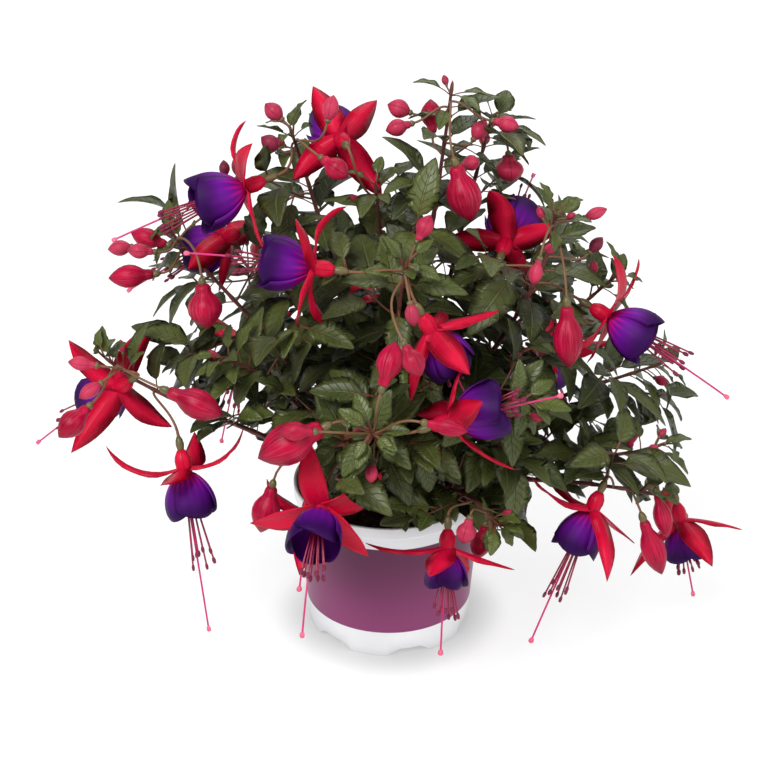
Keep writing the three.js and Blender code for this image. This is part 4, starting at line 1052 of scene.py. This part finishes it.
def makePot():
    def inner(z):
        return wallRadius(z) - pot["wall"]

    floorTop, wallTop = pot["floorLift"] + pot["floor"], pot["height"] - pot["rimHeight"]
    corners = [
        (0, pot["floorLift"]), (inner(pot["floorLift"]), pot["floorLift"]), (inner(0), 0), (wallRadius(0), 0),
        (wallRadius(14), 14), (wallRadius(wallTop), wallTop), (pot["rimRadius"], wallTop + 0.8),
        (pot["rimRadius"], pot["height"]), (pot["rimRadius"] - pot["wall"], pot["height"]),
        (inner(wallTop), wallTop), (inner(floorTop), floorTop), (0, floorTop),
    ]
    piece = lathe("nursery_pot", rounded(corners, 0.7), pot["sides"], notchRise)
    cutBy(piece, drainPins())
    smoothed(piece, finish("pottedWhite", {"Specular IOR Level": 0.16, "Coat Roughness": 0.12}, paintPot))
    piece.data.set_sharp_from_angle(angle=math.radians(50))
    kept(piece, ["pot"])


# The soil
crumbs = {"sides": 72, "rings": 22, "density": 70000.0, "seed": 4, "smallest": 0.0006, "largest": 0.0021}


def soilHeight(x, y):
    lumps = math.sin(x * 0.21 + 1) * math.cos(y * 0.17) + 0.6 * math.sin(x * 0.09 - y * 0.13)
    fine = 0.5 * math.sin(x * 0.9 + y * 0.4) * math.cos(y * 0.8 - x * 0.2)
    return soil["level"] + soil["lump"] * lumps + fine


def paintSoil(plan):
    shade = plan.noise(160.0, 6.0, 0.7)
    dark = plan.mix(plan.ease(shade, 0.35, 0.7), ink(26, 17, 12), ink(70, 48, 34))
    fibre = plan.ease(plan.noise(240.0, 4.0, 0.6, (1, 0.2, 1)), 0.62, 0.72)
    return {
        "Base Color": plan.mix(fibre * 0.6, dark, ink(104, 76, 52)),
        "Roughness": shade * 0.2 + 0.78,
        "Normal": plan.bump(shade, 0.8, 0.001),
    }


def crumbTemplate():
    mesh = bpy.data.meshes.new("crumb")
    shape = bmesh.new()
    bmesh.ops.create_icosphere(shape, subdivisions=1, radius=1.0)
    draw = draws(77)
    for vertex in shape.verts:
        vertex.co *= draw(0.6, 1.1)
    shape.to_mesh(mesh)
    shape.free()
    made = bpy.data.objects.new("crumb", mesh)
    scene.collection.objects.link(made)
    return made


def makeSoil():
    reach = wallRadius(soil["level"]) - pot["wall"] - 0.2
    sides, rings = crumbs["sides"], crumbs["rings"]
    points = [(0, 0, soilHeight(0, 0))]
    for i in range(1, rings + 1):
        r = reach * i / rings
        for j in range(sides):
            x, y = r * math.cos(2 * math.pi * j / sides), r * math.sin(2 * math.pi * j / sides)
            points.append((x, y, soilHeight(x, y) - (1.5 if i == rings else 0)))
    faces = [(0, 1 + j, 1 + (j + 1) % sides) for j in range(sides)]
    for i in range(rings - 1):
        a, b = 1 + i * sides, 1 + (i + 1) * sides
        faces += [(a + j, b + j, b + (j + 1) % sides, a + (j + 1) % sides) for j in range(sides)]
    piece = newObject("potting_soil", [tuple(c * millimetre for c in p) for p in points], faces=faces)
    shape = crumbTemplate()
    values = {name: crumbs[name.lower()] for name in ("Density", "Seed", "Smallest", "Largest")}
    peat = finish("peat", {"Specular IOR Level": 0.25}, paintSoil)
    grown(piece, crumbTree, {"Template": shape, **values, "Material": peat})
    dropHelper(shape)
    kept(piece, ["soil"])


makePot()
makeSoil()


# Tubes, blades and standing shapes
def tubes(name, lines, sides, material):  # each line: points, radii and a ripeness
    points, edges, radii, ripeness = [], [], [], []
    for path, widths, ripe in lines:
        first = len(points)
        points += [p * millimetre for p in path]
        radii += [w * millimetre for w in widths]
        ripeness += [ripe] * len(path)
        edges += [(first + i, first + i + 1) for i in range(len(path) - 1)]
    lines = newObject(name, points, edges, marks={"radius": radii, "ripe": ripeness})
    return grown(lines, tubeTree, {"Sides": sides, "Material": material})


def bladeTemplate(stalkRows, bladeRows, width, columns, tooth):
    rows = [(share, 0.0) for share in stalkRows] + [(1.0, share) for share in bladeRows]
    marks = {name: [] for name in templateMarks}
    points, faces, top, under = [], [], [], []

    def put(side, onStalk, onBlade, wide, layer):
        for name, value in zip(templateMarks, (side, onStalk, onBlade, wide, layer)):
            marks[name].append(value)
        points.append((onBlade + onStalk * 0.1, side * 0.3, layer * 0.01))
        return len(points) - 1

    for number, (onStalk, onBlade) in enumerate(rows):
        wide = width(onBlade) * (1 + (tooth if number % 2 else -tooth)) if onBlade else width(0)
        sides = [2 * j / columns - 1 for j in range(columns + 1)]
        top.append([put(s, onStalk, onBlade, wide, 1.0 if abs(s) < 1 else 0.0) for s in sides])
        under.append([top[-1][0], put(0.0, onStalk, onBlade, wide, -1.0), top[-1][-1]])
    tip = put(0.0, 1.0, 1.0, 0.0, 0.0)
    for sheet, isUnder in ((top, False), (under, True)):
        for a, b in zip(sheet, sheet[1:]):
            quads = [(a[j], a[j + 1], b[j + 1], b[j]) for j in range(len(a) - 1)]
            faces += [q[::-1] for q in quads] if isUnder else quads
        last = [(sheet[-1][j], sheet[-1][j + 1], tip) for j in range(len(sheet[-1]) - 1)]
        faces += [q[::-1] for q in last] if isUnder else last
    faces.append(tuple(under[0]) + tuple(top[0][-2:0:-1]))
    return newObject("bladeTemplate", points, faces=faces, marks=marks)


def blades(name, lines, shape, sizes, material):
    marks = {
        "root": [one["root"] * millimetre for one in lines],
        "along": [one["along"] for one in lines],
        "face": [one["face"] for one in lines],
        "bladeLength": [one["length"] * millimetre for one in lines],
    }
    for label in ("bend", "phase", "sway", "young", "tone", "broad"):
        marks[label] = [one.get(label, 0.0) for one in lines]
    made = newObject(name, marks["root"], marks=marks)
    grown(made, bladeTree, {"Template": shape, "Material": material, **sizes})
    dropHelper(shape)
    return made


def standing(name, shape, things, material):  # each thing: place, way, half width, length and ripeness
    points, marks = [], {"way": [], "across": [], "size": [], "ripe": []}
    for number, (at, way, half, length, ripe) in enumerate(things):
        points.append(at * millimetre)
        marks["way"].append(way)
        marks["across"].append(around(way, unit(np.cross(way, offWay)), number * 1.3))
        marks["size"].append((half * millimetre, half * millimetre, length * millimetre))
        marks["ripe"].append(ripe)
    made = newObject(name, points, marks=marks)
    grown(made, standTree, {"Template": shape, "Material": material})
    dropHelper(shape)
    return made


def turnedTemplate(profile, sides, lobes=0, depth=0.0):  # a unit body round +Z that carries its own height
    points, faces, onBody, ribs, turned = [], [], [], [], []
    for share, r in profile:
        for j in range(sides if r else 1):
            turn = 2 * math.pi * j / sides
            bulge = 1 - depth * (0.5 + 0.5 * math.cos(lobes * turn)) if lobes else 1
            points.append((r * bulge * math.cos(turn), r * bulge * math.sin(turn), share))
            onBody.append(share)
            ribs.append(0.5 + 0.5 * math.cos(lobes * turn) if r else 0.5)
            turned.append(abs(turn - math.pi))
    start = 0
    for (_, r), (_, nextR) in zip(profile, profile[1:]):
        after = start + (sides if r else 1)
        for j in range(sides):
            k = (j + 1) % sides
            if r and nextR:
                faces.append((start + j, start + k, after + k, after + j))
            elif nextR:
                faces.append((start, after + k, after + j))
            else:
                faces.append((start + j, start + k, after))
        start = after
    marks = {"onBody": onBody, "rib": ribs, "turned": turned}
    return newObject("turnedTemplate", points, faces=faces, marks=marks)


# Stems and stalks
def paintBark(plan):
    ripe = plan.mark("ripe")
    streak = plan.noise(120.0, 4.0, 0.6, (1, 1, 0.15))
    wood = plan.mix(plan.ease(streak, 0.3, 0.7), ink(62, 30, 28), ink(112, 58, 50))
    green = plan.mix(streak, ink(84, 70, 40), ink(112, 88, 54))
    red = plan.mix(streak, ink(96, 62, 40), ink(128, 84, 56))
    colour = plan.mix(plan.ease(ripe, 0.05, 0.45), wood, green)
    colour = plan.mix(plan.ease(ripe, 0.5, 1.0), colour, red)
    return {"Base Color": colour, "Roughness": streak * 0.2 + 0.4, "Normal": plan.bump(streak, 0.4, 0.0004)}


def stemLine(shoot):
    frames = shoot["frames"]
    whole = frames[0]["toTip"]
    path, radii = [vec(*shoot["root"], soil["level"] - stem["sunk"])], [stem["rootRadius"]]
    for one in frames:
        share = 1 - one["toTip"] / whole
        reach = stem["nodeReach"]
        swelling = sum(math.exp(-(((one["toTip"] - node) / reach) ** 2)) for node in shoot["nodes"])
        path.append(one["at"])
        radii.append(lerp(stem["rootRadius"], stem["tipRadius"], share) + stem["node"] * swelling)
    path.append(frames[-1]["at"] + frames[-1]["way"] * 2)
    radii.append(0.2)
    return path, radii, 0.0


def makeStems():
    bark = finish("bark", {"Specular IOR Level": 0.4}, paintBark)
    kept(tubes("stems", [stemLine(shoot) for shoot in shoots], stem["sides"], bark))
    kept(tubes("stalks", stalks, stalk["sides"], bark))


# Leaves
def paintLeaf(plan):
    side, onBlade, layer = plan.mark("side").of("ABSOLUTE"), plan.mark("onBlade"), plan.mark("layer")
    tone, young, onStalk = plan.mark("tone"), plan.mark("young"), plan.mark("onStalk")
    rows = (onBlade * 7.0 - side * 1.6).of("FRACT")
    vein = plan.ease((rows - 0.5).of("ABSOLUTE"), 0.02, 0.1, 1.0, 0.0) * plan.ease(side, 0.75, 1.0, 1.0, 0.1)
    midrib = plan.ease(side, 0.03, 0.09, 1.0, 0.0)
    mottle = plan.noise(90.0, 4.0, 0.6)
    blade = plan.mix(plan.ease(mottle + tone * 0.6, 0.35, 1.15), ink(30, 38, 8), ink(71, 76, 30))
    blade = plan.mix(young * 0.45, blade, ink(90, 104, 42))
    blade = plan.mix(plan.ease(side + mottle * 0.2, 0.85, 1.15) * 0.4, blade, ink(50, 44, 20))
    blade = plan.mix(vein * 0.16, blade, ink(98, 108, 66))
    rib = plan.mix(plan.ease(onBlade, 0.0, 0.45), ink(120, 62, 54), ink(92, 104, 62))
    blade = plan.mix(midrib * 0.6, blade, rib)
    blade = plan.mix(plan.ease(layer, -0.9, -0.1, 0.7, 0.0), blade, ink(92, 102, 72))
    colour = plan.mix(plan.ease(onStalk, 0.9, 1.0), ink(116, 68, 48), blade)
    height = vein * -0.8 + midrib * -1.2 + mottle * 0.6
    return {
        "Base Color": colour,
        "Roughness": mottle * 0.24 + 0.32 + vein * 0.08,
        "Normal": plan.bump(height, 0.8, 0.0011),
    }


def leafWidth(share):  # widest below its middle, with a drawn-out tip
    return math.sin(math.pi * share**0.74) ** 0.95 * (1 - 0.3 * share**2) * 1.05 if 0 < share < 1 else 0.0


def makeLeaves():
    rows = [0.0, 0.07, 0.15, 0.23, 0.31, 0.39, 0.47, 0.55, 0.63, 0.71, 0.79, 0.87, 0.94]
    shape = bladeTemplate([0.0, 0.6], rows, leafWidth, 4, 0.02)
    sizes = {
        "Stalk": leaf["petiole"] * millimetre, "Stalk Half": leaf["petioleHalf"] * millimetre,
        "Half Width": leaf["halfWidth"] * millimetre,
        "Fold": leaf["fold"], "Wave": leaf["wave"] * millimetre, "Thickness": leaf["thick"] * millimetre,
    }
    green = finish("leafGreen", {"Specular IOR Level": 0.42}, paintLeaf)
    piece = blades("leaves", leaves, shape, sizes, green)
    kept(piece, ["shoot_" + shoot["name"] for shoot in shoots])


# Sepals, and then tubes and buds, which share a waxy red.
def paintSepal(plan):
    side, onBlade, tone = plan.mark("side"), plan.mark("onBlade"), plan.mark("tone")
    offCentre = side.of("ABSOLUTE")
    lines = (side * 34.0 + plan.noise(25.0) * 5.0).of("SINE") * 0.5 + 0.5
    cloud = plan.noise(55.0, 3.0)
    layer = plan.mark("layer")
    colour = plan.mix(plan.ease(cloud + tone * 0.35, 0.3, 1.0), ink(170, 0, 36), ink(208, 4, 56))
    colour = plan.mix(lines * 0.3, colour, ink(138, 0, 24))
    colour = plan.mix(plan.ease(onBlade, 0.0, 0.3, 0.6, 0.0), colour, ink(206, 10, 60))
    colour = plan.mix(plan.ease(onBlade, 0.86, 1.0) * 0.5, colour, ink(146, 14, 34))
    colour = plan.mix(plan.ease(offCentre, 0.8, 1.0) * 0.2, colour, ink(210, 44, 78))
    colour = plan.mix(plan.ease(layer, -0.9, -0.1, 0.3, 0.0), colour, ink(200, 26, 62))
    return {
        "Base Color": colour,
        "Roughness": cloud * 0.2 + 0.32,
        "Normal": plan.bump(lines * 0.4 + cloud, 0.35, 0.0005),
    }


def makeSepals():
    lines = []
    for number, one in enumerate(bloomFrames):
        draw = draws(number + 600)
        for sepal in one["sepals"]:
            marks = {"phase": draw(0, 6), "sway": draw(-0.06, 0.06), "tone": draw(0, 1), "broad": one["size"]}
            lines.append({**sepalLine(one, sepal), **marks})
    rows = [0.0, 0.08, 0.18, 0.28, 0.38, 0.48, 0.58, 0.68, 0.78, 0.87, 0.94]
    shape = bladeTemplate([], rows, sepalWidth, 6, 0.0)
    sizes = {
        "Stalk": 0.0, "Stalk Half": 0.0, "Half Width": bloom["sepalHalf"] * millimetre,
        "Fold": bloom["sepalFold"], "Wave": bloom["sepalWave"] * millimetre,
        "Thickness": bloom["sepalThick"] * millimetre,
    }
    red = finish("sepalRed", {"Specular IOR Level": 0.14}, paintSepal)
    piece = blades("sepals", lines, shape, sizes, red)
    kept(piece, [f"bloom_{i + 1:02d}_red" for i in range(len(blooms))])


def paintBud(plan):
    onBody, rib, ripe, turned = (plan.mark(name) for name in ("onBody", "rib", "ripe", "turned"))
    cloud = plan.noise(70.0, 3.0)
    grain = plan.noise(1.0, 4.0, 0.6, (9, 1.4, 9), plan.join(turned, onBody, ripe))
    streak = plan.ease(grain, 0.46, 0.68)
    seam = plan.ease(rib, 0.93, 1.0)
    colour = plan.mix(plan.ease(cloud, 0.3, 0.7), ink(132, 0, 35), ink(170, 3, 52))
    colour = plan.mix(streak * 0.4, colour, ink(206, 62, 98))
    rose = plan.mix(cloud, ink(150, 26, 56), ink(196, 62, 92))
    colour = plan.mix(plan.ease(ripe, 0.4, 0.9), rose, colour)
    dull = plan.mix(cloud, ink(84, 18, 38), ink(122, 42, 62))
    colour = plan.mix(plan.ease(ripe, 0.12, 0.34), dull, colour)
    bright = plan.mix(cloud, ink(178, 2, 42), ink(210, 8, 58))  # the tube of an open bloom
    colour = plan.mix(plan.ease(ripe, 1.1, 1.5), colour, bright)
    colour = plan.mix(seam * 0.75, colour, ink(78, 0, 24))
    # painted shade: each bud and tube darkens towards its far end
    colour = plan.mix(plan.ease(onBody, 0.8, 1.0) * 0.5, colour, ink(96, 10, 34))
    return {
        "Base Color": colour,
        "Roughness": cloud * 0.15 + 0.3,
        "Normal": plan.bump(seam * -0.8 + streak * 0.3, 0.5, 0.0005),
    }


def paintOvary(plan):
    cloud = plan.noise(120.0, 3.0)
    colour = plan.mix(plan.ease(cloud, 0.3, 0.7), ink(78, 78, 40), ink(104, 84, 50))
    return {"Base Color": colour, "Roughness": cloud * 0.2 + 0.35}


budProfile = [
    (0, 0), (0.0, 0.32), (0.05, 0.42), (0.11, 0.46), (0.16, 0.46), (0.21, 0.52), (0.29, 0.73), (0.4, 0.93),
    (0.52, 1.0), (0.64, 0.95), (0.76, 0.77), (0.87, 0.5), (0.95, 0.22), (1, 0),
]
youngProfile = [
    (0, 0), (0.0, 0.34), (0.06, 0.5), (0.16, 0.72), (0.3, 0.93), (0.45, 1.0), (0.6, 0.94), (0.75, 0.74),
    (0.87, 0.46), (0.95, 0.2), (1, 0),
]
tubeProfile = [
    (0, 0), (0.0, 0.5), (0.1, 0.66), (0.3, 0.92), (0.52, 1.02), (0.76, 0.96), (0.95, 0.94), (1.06, 0.9),
    (1.1, 0),
]
ovaryProfile = [(0, 0), (0.0, 0.45), (0.25, 0.85), (0.55, 1.0), (0.85, 0.8), (1.0, 0.6), (1.02, 0)]


def makeBudsAndTubes():
    waxy = finish("budRed", {"Specular IOR Level": 0.16}, paintBud)
    for name, profile, isYoung in (("buds", budProfile, False), ("young_buds", youngProfile, True)):
        things = [one for one in buds if (one[4] < bud["young"]) == isYoung]
        kept(standing(name, turnedTemplate(profile, 16, 4, 0.06), things, waxy))
    throats = []
    for one in bloomFrames:
        root = bloomPoint(one, -bloom["tube"], 0, 0)
        half, length = bloom["tubeRadius"] * one["size"], bloom["tube"] * one["size"]
        throats.append((root, one["mouth"], half, length, bloom["tubeRipe"]))
    kept(standing("bloom_tubes", turnedTemplate(tubeProfile, 20, 4, 0.04), throats, waxy))
    olive = finish("ovaryOlive", {"Specular IOR Level": 0.5}, paintOvary)
    things = [(*one, 1.0) for one in ovaries]
    kept(standing("ovaries", turnedTemplate(ovaryProfile, 12), things, olive))


# Corollas: four petals rolled round each other, each with one edge under its neighbour.
def paintPetal(plan):
    onPetal, out = plan.mark("onPetal"), plan.mark("acrossPetal")
    cloud = plan.noise(70.0, 3.0)
    lines = (out * 22.0 + plan.noise(30.0) * 5.0).of("SINE") * 0.5 + 0.5
    colour = plan.mix(plan.ease(onPetal + cloud * 0.3, 0.4, 1.0), ink(104, 16, 142), ink(42, 2, 66))
    colour = plan.mix(lines * 0.16, colour, ink(38, 0, 62))
    base = plan.ease(onPetal + lines * 0.2, 0.06, 0.46, 1.0, 0.0)
    colour = plan.mix(base * 0.85, colour, ink(192, 18, 104))
    rim = plan.ease(onPetal, 0.94, 1.0) + plan.ease(out.of("ABSOLUTE"), 0.93, 1.0)
    colour = plan.mix(rim * 0.3, colour, ink(124, 40, 136))
    return {
        "Base Color": colour,
        "Roughness": cloud * 0.15 + 0.46,
        "Normal": plan.bump(lines * 0.25 + cloud, 0.3, 0.0005),
    }


petalGrid = {"rows": 11, "columns": 10}


def petalMesh(one, i, points, faces, marks):
    rows, columns = petalGrid["rows"], petalGrid["columns"]
    draw = draws(int(one["throat"][2] * 31 + i * 7 + 900))
    phase, curl = draw(0, 6), draw(0.2, 1.2)
    middle = one["turn"] + 45 + i * 90
    number = {}

    def put(rowShare, out, layer):
        share = rowShare * (1 - bloom["petalArch"] * out * out * rowShare**3)
        flare = 2.4 * curl * (max(0, share - 0.7) / 0.3) ** 2 + 2.2 * max(0, out) ** 3 * share**3
        ruffle = 0.5 * share**2 * math.sin(out * 4.5 + phase)
        lap, half = out * bloom["petalLap"] * share, layer * bloom["petalThick"] / 2
        radius = bellRadius(one, share) + lap + flare + ruffle + half
        along = bloom["seat"] + share * bloom["corolla"] * one["bell"]
        degrees = middle + out * bloom["petalSpan"]
        points.append(bloomPoint(one, along, max(bloom["bellLeast"], radius), degrees) * millimetre)
        marks["onPetal"].append(share)
        marks["acrossPetal"].append(out)
        marks["layer"].append(layer)
        return len(points) - 1

    for r in range(rows + 1):
        for c in range(columns + 1):
            out = 2 * c / columns - 1
            isEdge = r == rows or c in (0, columns)
            outer = put(r / rows, out, 0.0 if isEdge else 1.0)
            number[r, c, 1] = outer
            number[r, c, -1] = outer if isEdge else put(r / rows, out, -1.0)
    for r in range(rows):
        for c in range(columns):
            quad = [(r, c), (r, c + 1), (r + 1, c + 1), (r + 1, c)]
            faces.append(tuple(number[a, b, 1] for a, b in quad[::-1]))
            faces.append(tuple(number[a, b, -1] for a, b in quad))
    outer = [number[0, c, 1] for c in range(columns + 1)]
    inner = [number[0, c, -1] for c in range(columns - 1, 0, -1)]
    faces.append(tuple(outer + inner))


def makeCorollas():
    points, faces, marks = [], [], {"onPetal": [], "acrossPetal": [], "layer": []}
    for one in bloomFrames:
        for i in range(bloom["petals"]):
            petalMesh(one, i, points, faces, marks)
    piece = newObject("corollas", points, faces=faces, marks=marks)
    smoothed(piece, finish("petalViolet", {"Specular IOR Level": 0.1}, paintPetal))
    kept(piece, [f"bloom_{i + 1:02d}_corolla" for i in range(len(blooms))])


# Stamens and pistils
def paintThread(plan):
    tint = plan.mix(plan.ease(plan.mark("ripe"), 0.4, 0.6), ink(138, 4, 52), ink(200, 20, 108))
    return {"Base Color": plan.mix(plan.noise(90.0) * 0.4, tint, ink(120, 12, 52))}


def paintAnther(plan):
    cloud = plan.noise(400.0, 3.0)
    return {"Base Color": plan.mix(cloud, ink(84, 6, 38), ink(128, 16, 62)), "Roughness": cloud * 0.2 + 0.6}


def paintStigma(plan):
    return {"Base Color": plan.mix(plan.noise(300.0), ink(204, 64, 108), ink(224, 110, 140))}


# The stigma and the anther: half width and length.
thread = {"sides": 5, "steps": 8, "stigma": (1.7, 4.0), "anther": (1.35, 4.2)}
antherProfile = [(0, 0), (0.1, 0.7), (0.5, 1.0), (0.9, 0.7), (1, 0)]
stigmaProfile = [(0, 0), (0.05, 0.4), (0.35, 0.9), (0.75, 1.0), (0.96, 0.6), (1, 0)]


def makeThreads():
    shares = [i / thread["steps"] for i in range(thread["steps"] + 1)]
    lines, anthers, stigmas = [], [], []
    for one in bloomFrames:
        for i, path in enumerate(threadPaths(one, bloom["stamens"], shares)):
            isPistil = i == bloom["stamens"]
            path = [bloomPoint(one, 0, 0.4, i * 40)] + path
            radius = bloom["style"] if isPistil else bloom["filament"]
            lines.append((path, [radius] * len(path), 1.0 if isPistil else 0.0))
            way = unit(path[-1] - path[-2])
            if isPistil:
                stigmas.append((path[-1] - way, way, *thread["stigma"], 1.0))
            else:
                anthers.append((path[-1] - way, way, *thread["anther"], 1.0))
    pink = finish("threadPink", {"Roughness": 0.4}, paintThread)
    kept(tubes("stamens_and_pistils", lines, thread["sides"], pink))
    maroon = finish("antherMaroon", {}, paintAnther)
    kept(standing("anthers", turnedTemplate(antherProfile, 8, 2, 0.35), anthers, maroon))
    pale = finish("stigmaPink", {"Roughness": 0.5}, paintStigma)
    kept(standing("stigmas", turnedTemplate(stigmaProfile, 16, 4, 0.35), stigmas, pale))


makeStems()
makeLeaves()
makeSepals()
makeBudsAndTubes()
makeCorollas()
makeThreads()
